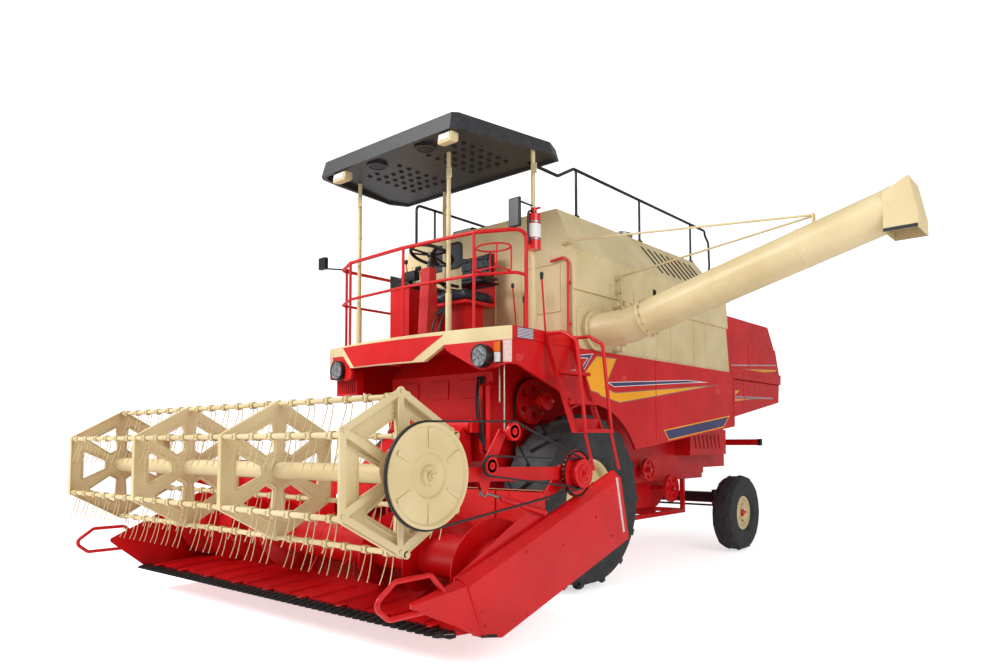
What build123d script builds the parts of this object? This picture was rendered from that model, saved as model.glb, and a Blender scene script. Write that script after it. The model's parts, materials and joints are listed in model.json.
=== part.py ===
from build123d import *
import os
from math import acos, atan2, cos, hypot, pi, radians, sin, tan

# Self-propelled combine harvester with reel header and swing-out unloading auger.
#
# Working frame while modelling: X to the machine's left, Y to its rear, Z up, with the
# ground under the middle of the front axle at 0, 0, 0.  Every node is moved to the row
# frame on export, whose origin is the middle of the outline on the ground.
# Units are millimetres and degrees.

os.makedirs("parts", exist_ok=True)

# ---------------------------------------------------------------- clearances
SEAT = 0.3            # gap between two pieces that seat on each other
RUN = 0.5             # radial gap of a shaft in its bore
FREE = 12             # least gap between pieces that move past each other

# ---------------------------------------------------------------- wheels
FRONT_R = 806         # over the lugs
FRONT_W = 480
FRONT_RIM_R = 392
FRONT_X = 1035        # middle of the front tyre
REAR_R = 463
REAR_W = 250
REAR_RIM_R = 206
REAR_X = 1215
WHEELBASE = 3150
RIM_T = 14            # wheel disc and rim plate

# ---------------------------------------------------------------- axles
LIFT_X = 250          # header lift cylinders
LIFT_EAR = 26         # half the gap between a lift cylinder's ears
AXLE_R = 95           # front axle tube
HUB_R = 110
STUB_R = 45           # stub shaft inside the wheel hub
REAR_BEAM_H = 130
REAR_BEAM_W = 110
REAR_BEAM_Z = 640
KINGPIN_R = 26
KINGPIN_X = 985
KNUCKLE_R = 38
SPINDLE_R = 32
STEER_ARM = 190

# ---------------------------------------------------------------- body
BODY_HALF = 1230      # half width over tank and side panels
CASING_HALF = 690     # half width of the thresher casing
DECK_Z = 2208         # top of the casing: tank, engine and platform stand on it
CASING_FRONT = -760
CASING_REAR = 3940
CASING_Z = 1010       # underside of the casing
WALL = 30             # sheet with its stiffening fold
FAN_HALF = 580        # half width of the cleaning fan's casing
FAN_FRONT = WHEELBASE - 1670
FAN_REAR = WHEELBASE - 290
FAN_LOW = 570         # underside of the fan casing
CRADLE_Z = 455        # underside of the frame that carries it

TANK_FRONT = -235
TANK_REAR = 1000
TANK_TOP = 3535
TANK_TOP_HALF = BODY_HALF - 214
TANK_SHOULDER = 3110
LEDGE_Z = 2752
LEDGE_STEP = 26
COVER_TOP_REAR = 2504
COVER_MID_REAR = 2927
COVER_MID_Z = 3080
COVER_REAR = 3047
PANEL_REAR = 3120
PANEL_REAR_Z = 1535
ARCH_R = 905          # wheel arch in the side panel
PANEL_FRONT = -1120
PANEL_FRONT_Z = 1994

HOOD_HALF = BODY_HALF - 60
HOOD_TOP = 2945
HOOD_REAR = 4805
HOOD_WALL = 20

# ---------------------------------------------------------------- platform
KERB_Z = 2308
FLOOR_T = 42
PLATFORM_FRONT = -1120
PLATFORM_HALF = BODY_HALF + 10
FASCIA_BULGE = 150
FASCIA_T = 40
FASCIA_LOW = 1950
RAIL_R = 17
RAIL_TOP = 3135
RAIL_MID = 2770
CANOPY_Z = 3880       # lower edge of the canopy's skirt
CANOPY_X = 90
CANOPY_HALF_FRONT = 930
CANOPY_HALF_REAR = 1130
CANOPY_FRONT = -1560
CANOPY_REAR = -330
CANOPY_H = 150
CANOPY_STEP = 26      # raised middle of the canopy's top
CANOPY_CEILING = 62   # depth of the hollow under the canopy
POST_R = 19

# ---------------------------------------------------------------- header
PIVOT_Y = -850
PIVOT_Z = 1500
FEEDER_HALF = 470
TROUGH_LEFT = -2100   # inner face of the far end sheet
TROUGH_RIGHT = 1950
TROUGH_BACK = -1620
TROUGH_REAR = -1540   # rear of the beams behind the back sheet
TROUGH_TOP = 1015
TROUGH_T = 10
LOOP_R = 15
LOOP_OUT = 27        # outer edge of the divider loop past the end sheet
KNIFE_Y = -2500
KNIFE_Z = 228
AUGER_Y = -1930
AUGER_Z = 560
AUGER_R = 285
AUGER_CORE_R = 150
AUGER_GAP = 20
FLIGHT_T = 8
FLIGHT_PITCH = 480
FLIGHT_IN = 470       # inner end of each flight
FINGERS = 12
SHIELD_W = 85
SHIELD_TOP_REAR = 1130
SHIELD_REAR = -780

# ---------------------------------------------------------------- reel
REEL_Y = -2795
REEL_Z = 1171
REEL_R = 455          # circle of the bats
REEL_LEFT = -2030
REEL_RIGHT = 1900
BATS = 6
BAT_R = 17
REEL_SHAFT_R = 58
PLATE_T = 8
PLATES = 4
TINE_LEN = 190
TINE_HALF = 3         # half the side of a tine
FOLD = 34             # depth of the frames' folded edge
TINES = 38
ARM_PIVOT_Y = -1330
ARM_PIVOT_Z = 1130
ARM_H = 90
ARM_LEFT = -2070      # middle of the arms
ARM_RIGHT = 1987
ARM_T = 30
SHAFT_R = 25
CRANK_Y = -60         # throw of the control frame against the reel's axis
CRANK_Z = 25
CRANK_T = 8
PULLEY_R = 298
PULLEY_W = 42
PULLEY_X = 2060
JACK_R = 95
IDLER_R = 58
BELT_T = 12
TEETH = 30            # of the header's chain wheel
CHAIN_R = 160

# ---------------------------------------------------------------- unloading auger
SPOUT_R = 156
SPOUT_WALL = 6
FLANGE_Y = 60
FLANGE_Z = 2398
ELBOW_X = BODY_HALF + 370
TIP_X = ELBOW_X + 2360
CHUTE_OUT = 97       # how far the outlet chute stands past the tube's end
CHUTE_LOW = 2826
SPOUT_RISE = 15.5     # degrees above level
SWING_X = BODY_HALF + 60
SWING_Y = 437
SWING_PIN_R = 12
SWING_LOW = DECK_Z + 14
SWING_HIGH = TANK_SHOULDER - 132
HOOK_X = BODY_HALF - 120
HOOK_Z = TANK_SHOULDER + 85
STAY_R = 9
STAY_X = ELBOW_X + 1692   # place of the stays' eye along the tube

# ================================================================ helpers


def block(x0, x1, y0, y1, z0, z1):
    """Box between two corners."""
    size = (x1 - x0, y1 - y0, z1 - z0)
    return Pos((x0 + x1) / 2, (y0 + y1) / 2, (z0 + z1) / 2) * Box(*size)


def prism_x(points, x0, x1):
    """Outline in Y and Z, drawn out from x0 to x1."""
    face = Plane.YZ.offset(x0) * Polygon(*points, align=None)
    return extrude(face, amount=x1 - x0, dir=(1, 0, 0))


def prism_y(points, y0, y1):
    """Outline in X and Z, drawn out from y0 to y1."""
    plane = Plane((0, y0, 0), x_dir=(1, 0, 0), z_dir=(0, -1, 0))
    return extrude(plane * Polygon(*points, align=None), amount=y1 - y0, dir=(0, 1, 0))


def prism_z(points, z0, z1):
    """Outline in X and Y, drawn out from z0 to z1."""
    face = Plane.XY.offset(z0) * Polygon(*points, align=None)
    return extrude(face, amount=z1 - z0, dir=(0, 0, 1))


def rod(start, end, radius):
    """Round bar between two points."""
    a, b = Vector(*start), Vector(*end)
    return extrude(Plane(a, z_dir=b - a) * Circle(radius), amount=(b - a).length)


def drum(x0, x1, y, z, radius, bore=0):
    """Round piece on an axis along X, with a bore if one is given."""
    face = Circle(radius) - Circle(bore) if bore else Circle(radius)
    return extrude(Plane.YZ.offset(x0) * Pos(y, z) * face, amount=x1 - x0)


def pipe(points, radius, bend):
    """Round tube along a route with the same bend at each corner."""
    route = FilletPolyline(*points, radius=bend)
    return sweep(Plane(route @ 0, z_dir=route % 0) * Circle(radius), path=route)


def joined(pieces):
    """One solid of pieces that meet."""
    whole = pieces[0]
    for piece in pieces[1:]:
        whole = whole + piece
    return whole


def both_sides(piece):
    """The piece and its mirror image across the machine."""
    return [piece, mirror(piece, about=Plane.YZ)]


def spin(x, y, z, profile):
    """Ring or dish turned about an axis along X from (x, radius) points."""
    plane = Plane((x, y, z), x_dir=(1, 0, 0), z_dir=(0, -1, 0))
    return revolve(plane * Polygon(*profile, align=None), axis=Axis((x, y, z), (1, 0, 0)))


# Origin: middle of the outline, on the ground.
OUT_LEFT = TIP_X + CHUTE_OUT
OUT_RIGHT = TROUGH_LEFT - TROUGH_T - LOOP_OUT
OUT_FRONT = REEL_Y - REEL_R - BAT_R
ROW_X = (OUT_LEFT + OUT_RIGHT) / 2
ROW_Y = (OUT_FRONT + HOOD_REAR) / 2


def save(name, *pieces):
    """Write one node, moved to the row frame."""
    solids = []
    for piece in pieces:
        solids += piece.solids()
    node = Compound(children=[Pos(-ROW_X, -ROW_Y, 0) * s for s in solids])
    export_step(node, f"parts/{name}.step")


# ================================================================ wheels


def tyre_form(half, rim_r, crown, shoulder, sides):
    """Flat-sided ring of a tyre's outer form, on an axis along X through 0, 0, 0."""
    middle = rim_r + (shoulder - rim_r) * 0.5
    stations = [(-half, middle), (-half * 0.9, shoulder), (-half * 0.5, crown)]
    stations += [(-x, radius) for x, radius in reversed(stations)]
    turned = 180 / sides

    def ring(x, radius):
        return Plane.YZ.offset(x) * RegularPolygon(radius, sides, major_radius=False, rotation=turned)

    form = loft([ring(x, radius) for x, radius in stations], ruled=True)
    for end in (-1, 1):
        form -= loft([ring(end * half, middle), ring(end * half * 0.72, rim_r + SEAT)], ruled=True)
    return form - extrude(ring(-half, rim_r + SEAT), amount=2 * half)


def tyre(radius, width, rim_r, depth, bars, start):
    """Tyre with slanted bars from start (a share of the half width) out over each shoulder."""
    sides = 2 * bars
    half = width / 2
    shoulder = radius * 0.955
    carcass = tyre_form(half, rim_r, radius - depth, shoulder - depth, sides)
    pitch = 2 * pi * radius / bars
    plan = [(start, -0.1), (0.35, 0.1), (1.02, 0.55), (1.02, 0.74), (0.3, 0.3), (start, 0.08)]
    corners = [(across * half, along_tread * pitch) for across, along_tread in plan]
    bar = prism_z(corners, radius * 0.8, radius + 9)
    bar &= tyre_form(half, rim_r, radius, shoulder, sides)
    tread = []
    for i in range(bars):
        turn = 360 / bars * i
        tread.append(Rot(turn, 0, 0) * bar)
        tread.append(Rot(turn + 180 / bars, 0, 0) * mirror(bar, about=Plane.YZ))
    return carcass.fuse(*tread)


def rim(side, x, y, radius, width, rim_r, hub_r, bore_r, dish, holes, hole_r):
    """Rim barrel, dished disc and hub, with the disc's hollow face outward."""
    half = width * 0.36
    s = side
    barrel = spin(s * x, y, radius, [(-half, rim_r), (half, rim_r), (half, rim_r - 26),
                                     (half - 30, rim_r - 26 - RIM_T), (30 - half, rim_r - 26 - RIM_T),
                                     (-half, rim_r - 26)])
    disc = spin(s * x, y, radius, [(s * dish, bore_r), (s * dish, hub_r), (s * (dish + 60), rim_r * 0.62),
                                   (s * (dish + 30), rim_r - 35), (s * (dish + 30 - RIM_T), rim_r - 35),
                                   (s * (dish + 60 - RIM_T), rim_r * 0.62),
                                   (s * (dish - RIM_T), hub_r), (s * (dish - RIM_T), bore_r)])
    hub = spin(s * x, y, radius, [(s * (dish - 40), bore_r), (s * (dish + 45), bore_r),
                                  (s * (dish + 45), hub_r * 0.6), (s * (dish + 2), hub_r),
                                  (s * (dish - 40), hub_r)])
    whole = joined([barrel, disc, hub])
    for i in range(holes):
        a = 2 * pi / holes * i
        across, up = rim_r * 0.52 * cos(a), rim_r * 0.52 * sin(a)
        whole -= drum(s * x - width, s * x + width, y + across, radius + up, hole_r)
    return whole


front_tyre = tyre(FRONT_R, FRONT_W, FRONT_RIM_R, 36, 14, -0.06)
rear_tyre = tyre(REAR_R, REAR_W, REAR_RIM_R, 12, 10, 0.3)
for side, name in ((1, "left"), (-1, "right")):
    save(f"front_tyre_{name}", Pos(side * FRONT_X, 0, FRONT_R) * front_tyre)
    save(f"front_rim_{name}", rim(side, FRONT_X, 0, FRONT_R, FRONT_W, FRONT_RIM_R, HUB_R, STUB_R + RUN, 60,
                                  8, 26))
    save(f"rear_tyre_{name}", Pos(side * REAR_X, WHEELBASE, REAR_R) * rear_tyre)
    save(f"rear_rim_{name}", rim(side, REAR_X, WHEELBASE, REAR_R, REAR_W, REAR_RIM_R, 70, SPINDLE_R + RUN, 30,
                                 5, 16))

# ================================================================ axles and frame

HITCH_Y = CASING_REAR + 100
HITCH_PIN_R = 16

stub_end = FRONT_X + 100
inner_face = FRONT_X + 60 - 40 - FREE
front_axle = [
    drum(-inner_face, inner_face, 0, FRONT_R, AXLE_R),
    drum(inner_face - 1, stub_end, 0, FRONT_R, STUB_R),
    drum(-stub_end, 1 - inner_face, 0, FRONT_R, STUB_R),
    block(-330, 330, -170, 170, FRONT_R - 160, FRONT_R + 160),
]
for x in (-590, 590):
    front_axle.append(block(x - 60, x + 60, -110, 110, FRONT_R, CASING_Z - SEAT))
for x in (-LIFT_X, LIFT_X):
    for x0 in (x - LIFT_EAR - 16, x + LIFT_EAR):
        ear = [(-165, 620), (-165, 720), (-240, 690), (-270, 660), (-240, 630)]
        front_axle.append(prism_x(ear, x0, x0 + 16))
    front_axle.append(drum(x - 42, x + 42, -240, 660, 20))
save("front_axle", joined(front_axle))

frame = [block(x - 50, x + 50, 420, WHEELBASE + 120, 880, CASING_Z - SEAT) for x in (-640, 640)]
frame.append(block(-690, 690, WHEELBASE - 70, WHEELBASE + 70, 880, CASING_Z - SEAT))
frame.append(block(-690, 690, 420, 520, 880, CASING_Z - SEAT))
frame.append(block(-70, 70, WHEELBASE - 120, WHEELBASE - 80, REAR_BEAM_Z - 20, 900))
frame.append(block(-70, 70, WHEELBASE + 80, WHEELBASE + 120, REAR_BEAM_Z - 20, 900))
frame.append(block(-70, 70, WHEELBASE - 120, WHEELBASE + 120, 860, 900))
frame.append(rod((0, WHEELBASE - 120, REAR_BEAM_Z), (0, WHEELBASE + 120, REAR_BEAM_Z), 30))
hitch = block(-60, 60, WHEELBASE + 120, CASING_REAR + 160, 930, CASING_Z - SEAT)
hitch -= Pos(0, HITCH_Y, 970) * Cylinder(HITCH_PIN_R, 200)
frame.append(hitch)
frame.append(block(-690, 690, WHEELBASE + 60, WHEELBASE + 160, 940, CASING_Z - SEAT))

beam_end = KINGPIN_X - KNUCKLE_R - FREE - 14
rear_axle = block(-beam_end, beam_end, WHEELBASE - REAR_BEAM_W / 2, WHEELBASE + REAR_BEAM_W / 2,
                  REAR_BEAM_Z - REAR_BEAM_H / 2, REAR_BEAM_Z + REAR_BEAM_H / 2)
rear_axle -= rod((0, WHEELBASE - 100, REAR_BEAM_Z), (0, WHEELBASE + 100, REAR_BEAM_Z), 30 + SEAT)
axle_parts = [rear_axle]
for side in (-1, 1):
    axle_parts.append(block(min(side * (beam_end - 10), side * (KINGPIN_X + 45)),
                            max(side * (beam_end - 10), side * (KINGPIN_X + 45)),
                            WHEELBASE - 50, WHEELBASE + 50, REAR_BEAM_Z + 72, REAR_BEAM_Z + 96))
    axle_parts.append(block(min(side * (beam_end - 10), side * (KINGPIN_X + 45)),
                            max(side * (beam_end - 10), side * (KINGPIN_X + 45)),
                            WHEELBASE - 50, WHEELBASE + 50, REAR_BEAM_Z - 112, REAR_BEAM_Z - 88))
    axle_parts.append(block(side * beam_end - 14, side * beam_end + 14, WHEELBASE - 50, WHEELBASE + 50,
                            REAR_BEAM_Z - 112, REAR_BEAM_Z + 96))
axle = joined(axle_parts)
for side in (-1, 1):
    axle -= Pos(side * KINGPIN_X, WHEELBASE, REAR_BEAM_Z) * Cylinder(KINGPIN_R + RUN, 400)
save("rear_axle", axle)

ARM_PLATE_Z = REAR_R + 20      # underside of the steering arms
for side, name in ((1, "left"), (-1, "right")):
    kx = side * KINGPIN_X
    tip = side * (REAR_X + 65)
    save(f"rear_knuckle_{name}", joined([
        rod((kx, WHEELBASE, REAR_R), (kx, WHEELBASE, REAR_BEAM_Z + 100), KINGPIN_R),
        Pos(kx, WHEELBASE, REAR_BEAM_Z - 8) * Cylinder(KNUCKLE_R, 148),
        drum(min(kx, tip), max(kx, tip), WHEELBASE, REAR_R, SPINDLE_R),
        block(kx - 34, kx + 34, WHEELBASE - 34, WHEELBASE + 34, REAR_R - 40, REAR_R + 48),
        block(kx - 22, kx + 22, WHEELBASE, WHEELBASE + STEER_ARM + 22, ARM_PLATE_Z, ARM_PLATE_Z + 22),
    ]))
rod_z = ARM_PLATE_Z + 22 + SEAT
tie = [drum(-KINGPIN_X, KINGPIN_X, WHEELBASE + STEER_ARM, rod_z + 14, 13)]
for kx in (-KINGPIN_X, KINGPIN_X):
    tie.append(Pos(kx, WHEELBASE + STEER_ARM, rod_z + 14) * Cylinder(22, 28))
save("tie_rod", joined(tie))

# ================================================================ thresher and body

casing = prism_x([(CASING_FRONT, 1180), (CASING_FRONT, 1990), (-560, DECK_Z), (3700, DECK_Z),
                  (CASING_REAR, 1900), (CASING_REAR, CASING_Z), (-500, CASING_Z)],
                 -CASING_HALF, CASING_HALF)
pivot = [casing, drum(-FEEDER_HALF - 100, FEEDER_HALF + 100, PIVOT_Y, PIVOT_Z, 30)]
for side in (-1, 1):
    x = side * (FEEDER_HALF + 85)
    pivot.append(block(x - 15, x + 15, PIVOT_Y - 50, CASING_FRONT, PIVOT_Z - 60, PIVOT_Z + 60))
save("thresher_casing", joined(pivot))

fan = prism_x([(FAN_FRONT - 30, CASING_Z - SEAT), (FAN_FRONT + 20, 780), (FAN_FRONT + 280, FAN_LOW),
               (FAN_FRONT + 820, FAN_LOW), (FAN_FRONT + 1300, 900), (FAN_REAR, CASING_Z - SEAT)],
              -FAN_HALF, FAN_HALF)
cradle = []
for x in (-635, 635):
    cradle.append(block(x - 25, x + 25, FAN_FRONT, FAN_REAR, CRADLE_Z, CRADLE_Z + 50))
for y in (FAN_FRONT, FAN_REAR - 50):
    cradle.append(block(-635, 635, y, y + 50, CRADLE_Z, CRADLE_Z + 50))
    for x in (-635, 635):
        cradle.append(block(x - 25, x + 25, y, y + 50, CRADLE_Z, 880 - SEAT))
for y in (FAN_FRONT + 220, FAN_FRONT + 760):
    cradle.append(block(-635, 635, y, y + 60, CRADLE_Z + 5, CRADLE_Z + 45))
    cradle.append(block(-560, 560, y, y + 60, CRADLE_Z + 40, FAN_LOW - SEAT))
panel = prism_x([(PANEL_FRONT, DECK_Z - SEAT), (PANEL_REAR, DECK_Z - SEAT), (PANEL_REAR, PANEL_REAR_Z),
                 (734, 1268), (-416, 1779), (-1031, PANEL_FRONT_Z), (PANEL_FRONT, PANEL_FRONT_Z)],
                BODY_HALF - WALL, BODY_HALF)
panel -= drum(BODY_HALF - WALL - 1, BODY_HALF + 1, 0, FRONT_R, ARCH_R)
grille = block(SEAT - BODY_HALF + WALL, -870, -1060, -980, 1830, 2060)
for i in range(9):
    x = -1170 + i * 32
    grille -= block(x, x + 16, -1061, -1030, 1850, 2040)
save("side_panels", *both_sides(panel), grille)

louvre = block(CASING_HALF + SEAT, 900, 2560, 3560, 1180, 1500)
louvre -= block(CASING_HALF, 880, 2580, 3540, 1200, 1480)
for i in range(7):
    y = 2700 + i * 110
    louvre -= prism_x([(y, 1260), (y + 30, 1260), (y - 20, 1430), (y - 50, 1430)], 870, 910)
save("cleaning_unit", fan, joined(cradle), *both_sides(louvre))


def body_outline(inset, low, top):
    """Section across tank and engine cover, drawn in by inset."""
    half = BODY_HALF - inset
    right = [(half - LEDGE_STEP, low), (half - LEDGE_STEP, LEDGE_Z + inset), (half, LEDGE_Z + inset),
             (half, TANK_SHOULDER), (TANK_TOP_HALF - inset, top)]
    return right + [(-x, z) for x, z in reversed(right)]


tank = prism_y(body_outline(0, DECK_Z, TANK_TOP), TANK_FRONT, TANK_REAR)
tank -= prism_y(body_outline(WALL, DECK_Z + WALL, TANK_TOP + 1), TANK_FRONT + WALL, TANK_REAR - WALL)
WINDOW_X = -450
WINDOW_Z = TANK_SHOULDER + 195
WINDOW_W = 450
WINDOW_H = 270
window = Plane((WINDOW_X, TANK_FRONT - 1, WINDOW_Z), x_dir=(1, 0, 0), z_dir=(0, 1, 0))
tank -= extrude(window * RectangleRounded(WINDOW_W, WINDOW_H, 70), amount=WALL + 2)
ring = drum(BODY_HALF - LEDGE_STEP, BODY_HALF + 22, FLANGE_Y, FLANGE_Z, 184, 150)
tank -= drum(BODY_HALF - 80, BODY_HALF + 1, FLANGE_Y, FLANGE_Z, 150)
post = []
for z in (SWING_LOW, 2650, LEDGE_Z + 48, SWING_HIGH - 43):
    x = BODY_HALF if z > LEDGE_Z else BODY_HALF - LEDGE_STEP
    post.append(block(x, SWING_X + 20, SWING_Y - 25, SWING_Y + 25, z, z + 20))
post.append(rod((SWING_X, SWING_Y, SWING_LOW), (SWING_X, SWING_Y, SWING_HIGH), SWING_PIN_R))
hook = block(HOOK_X - 20, HOOK_X + 20, TANK_FRONT - 35.7, TANK_FRONT, HOOK_Z - 25, HOOK_Z + 25)
tank = joined([tank, ring, hook] + post)
save("grain_tank", tank)
pane = Plane((WINDOW_X, TANK_FRONT + 8, WINDOW_Z), x_dir=(1, 0, 0), z_dir=(0, 1, 0))
glass = [extrude(pane * RectangleRounded(WINDOW_W - 2 * SEAT, WINDOW_H - 2 * SEAT, 70), amount=8)]


def cover_profile(inset, low, top):
    return [(TANK_REAR - inset, low), (TANK_REAR - inset, top), (COVER_TOP_REAR - inset, top),
            (COVER_MID_REAR - inset, COVER_MID_Z), (COVER_REAR - inset, low)]


cover = prism_y(body_outline(0, DECK_Z, TANK_TOP), TANK_REAR, COVER_REAR + 10)
cover &= prism_x(cover_profile(0, DECK_Z, TANK_TOP), -BODY_HALF - 10, BODY_HALF + 10)
hollow = prism_y(body_outline(WALL, DECK_Z - 1, TANK_TOP - WALL), TANK_REAR - 1, COVER_REAR + 10)
hollow &= prism_x(cover_profile(WALL, DECK_Z - 1, TANK_TOP - WALL), -BODY_HALF, BODY_HALF)
cover -= hollow
for i in range(9):
    y = TANK_REAR + 200 + i * 135
    slot = prism_x([(y, TANK_TOP - 75), (y + 32, TANK_TOP - 75), (y + 252, TANK_SHOULDER + 80),
                    (y + 220, TANK_SHOULDER + 80)], TANK_TOP_HALF - 66, BODY_HALF + 10)
    cover -= slot
    cover -= mirror(slot, about=Plane.YZ)
save("engine", block(-430, 430, TANK_REAR + 300, COVER_TOP_REAR - 54, DECK_Z, COVER_MID_Z - 30))
bowl = [Pos(620, TANK_REAR + 500, TANK_TOP + 60) * Cylinder(38, 120),
        Pos(620, TANK_REAR + 500, TANK_TOP + 150) * Cylinder(120, 70)]
save("engine_cover", joined([cover] + bowl))


HOOD_TIERS = [  # low z, high z, half width
    (1600, 2150, HOOD_HALF - 8),
    (2150, 2289, HOOD_HALF + 16),
    (2289, 2638, HOOD_HALF - 8),
    (2638, HOOD_TOP, HOOD_HALF - 22),
]


def cover_back(z):
    """Place of the engine cover's rear wall at a height."""
    share = (z - DECK_Z) / (COVER_MID_Z - DECK_Z)
    return COVER_REAR + (COVER_MID_REAR - COVER_REAR) * share


hood_front = [(cover_back(HOOD_TOP), HOOD_TOP), (COVER_REAR, DECK_Z), (COVER_REAR, 1625)]
hood_profile = [(4445, HOOD_TOP), (4670, 2638), (HOOD_REAR, 2289), (4758, 1897), (3330, 1671)]
inner_profile = [(COVER_REAR - 300, HOOD_TOP - HOOD_WALL), (4432, HOOD_TOP - HOOD_WALL), (4648, 2630),
                 (HOOD_REAR - 22, 2289), (4736, 1890), (4730, 1590), (COVER_REAR - 300, 1590)]
tiers = []
hollows = []
for low, high, half in HOOD_TIERS:
    tiers.append(block(-half, half, COVER_MID_REAR, HOOD_REAR, low, high)
                 & prism_x(hood_profile + hood_front[::-1], -half, half))
    inner = half - HOOD_WALL
    ceiling = high - HOOD_WALL if high == HOOD_TOP else high
    hollows.append(prism_x(inner_profile, -inner, inner)
                   & block(-inner, inner, COVER_MID_REAR - 200, HOOD_REAR, low - 10, ceiling))
hood = joined(tiers)
for piece in hollows:
    hood -= piece
save("straw_hood", hood)

BAR_Z = 1335
BAR_Y = CASING_REAR + 210
frame.append(block(40 - HOOD_HALF, HOOD_HALF - 40, BAR_Y, BAR_Y + 50, BAR_Z - 42, BAR_Z + 42))
for x in (-400, 400):
    frame.append(block(x - 30, x + 30, CASING_REAR + SEAT, BAR_Y + 10, BAR_Z - 30, BAR_Z + 30))
save("chassis", joined(frame))

# ================================================================ platform

FLOOR_Z = DECK_Z + FLOOR_T
floor = [block(-PLATFORM_HALF, PLATFORM_HALF, PLATFORM_FRONT, TANK_FRONT, DECK_Z, FLOOR_Z)]
for x0, x1 in ((-PLATFORM_HALF, -PLATFORM_HALF + WALL), (PLATFORM_HALF - WALL, PLATFORM_HALF)):
    floor.append(block(x0, x1, PLATFORM_FRONT, TANK_FRONT, DECK_Z, KERB_Z))
for x in (-560, 560):
    floor.append(block(x - 40, x + 40, PLATFORM_FRONT, CASING_FRONT, DECK_Z - 90, DECK_Z + 5))

front_arc = ThreePointArc((-PLATFORM_HALF, PLATFORM_FRONT), (0, PLATFORM_FRONT - FASCIA_BULGE),
                          (PLATFORM_HALF, PLATFORM_FRONT))
back_line = Polyline((PLATFORM_HALF, PLATFORM_FRONT), (-PLATFORM_HALF, PLATFORM_FRONT))
bulge = make_face(front_arc + back_line)
front_sheet = extrude(Plane.XY.offset(FASCIA_LOW - 10) * bulge, amount=KERB_Z - FASCIA_LOW + 10)
front_sheet -= extrude(Plane.XY.offset(FASCIA_LOW - 20) * Pos(0, FASCIA_T) * bulge,
                       amount=KERB_Z - FASCIA_LOW - 30)


def fascia_outline(points, drop=0):
    """Outline in X and Z, moved down by drop, drawn through the bulged front sheet."""
    return prism_y([(x, z - drop) for x, z in points], PLATFORM_FRONT - FASCIA_BULGE - 10, PLATFORM_FRONT)


BAND = [(-PLATFORM_HALF, KERB_Z), (PLATFORM_HALF, KERB_Z), (PLATFORM_HALF, 2195), (565, 2190), (332, 2061),
        (-775, 2080), (-925, 2209), (-PLATFORM_HALF, 2222)]
PODS = [
    [(565, 2190), (590, 2142), (840, 2005), (950, FASCIA_LOW), (PLATFORM_HALF, 2005), (PLATFORM_HALF, 2195)],
    [(-925, 2209), (-750, 2040), (-760, 1986), (-890, FASCIA_LOW + 13), (-PLATFORM_HALF, 2015),
     (-PLATFORM_HALF, 2222)],
]
LAMP_X = 975
LAMP_Z = 2067
LAMP_R = 98
pods = [front_sheet & fascia_outline(outline) for outline in PODS]
pods = [pod - fascia_outline(BAND, SEAT) for pod in pods]
for side in (-1, 1):
    x = side * LAMP_X
    hole = rod((x, PLATFORM_FRONT - 300, LAMP_Z), (x, PLATFORM_FRONT + 50, LAMP_Z), LAMP_R)
    pods = [pod - hole for pod in pods]
save("platform", joined(floor), *pods)
save("fascia", front_sheet & fascia_outline(BAND))
lamp_front = PLATFORM_FRONT - FASCIA_BULGE * (1 - (LAMP_X / PLATFORM_HALF) ** 2) - 60
lamps = [rod((s * LAMP_X, lamp_front, LAMP_Z), (s * LAMP_X, lamp_front + 130, LAMP_Z), LAMP_R - SEAT)
         for s in (-1, 1)]
save("lamps_and_window", *(glass + lamps))


RAIL_X = PLATFORM_HALF - 50


def rail_route(z, back, front_stop):
    """Plan of a handrail round the front of the platform."""
    return [(-RAIL_X, back, z), (-RAIL_X, -1010, z), (-850, -1165, z), (0, -1215, z), (850, -1165, z),
            (RAIL_X, -1010, z), (RAIL_X, front_stop, z)]


top_rail = [(-RAIL_X, -330, FLOOR_Z)] + rail_route(RAIL_TOP, -330, -880) + [(RAIL_X, -880, FLOOR_Z)]
rails = [pipe(top_rail, RAIL_R, 55)]
rails.append(pipe(rail_route(RAIL_MID, -330, -880), RAIL_R * 0.8, 55))
for x, y in ((-RAIL_X, -960), (-850, -1165), (0, -1215), (850, -1165)):
    foot = KERB_Z if y < PLATFORM_FRONT else FLOOR_Z
    rails.append(rod((x, y, foot), (x, y, RAIL_TOP), RAIL_R * 0.8))
save("platform_rails", joined(rails))

POSTS = [(440 - PLATFORM_HALF, PLATFORM_FRONT + 25), (470, PLATFORM_FRONT + 25), (PLATFORM_HALF - 120, -700),
         (-330, TANK_FRONT - 151)]
POST_TOP = CANOPY_Z + CANOPY_CEILING - SEAT
save("canopy_posts", *[rod((x, y, FLOOR_Z), (x, y, POST_TOP), POST_R) for x, y in POSTS])


def canopy_plan(inset):
    """Outline of the canopy seen from above, drawn in by inset."""
    front, rear = CANOPY_FRONT + inset, CANOPY_REAR - inset
    right = [(CANOPY_HALF_FRONT - inset - 60, front), (CANOPY_HALF_FRONT - inset, front + 60),
             (CANOPY_HALF_REAR - inset, rear - 200), (CANOPY_HALF_REAR - inset - 80, rear)]
    return Polygon(*[(CANOPY_X + x, y) for x, y in right] + [(CANOPY_X - x, y) for x, y in reversed(right)],
                   align=None)


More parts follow.
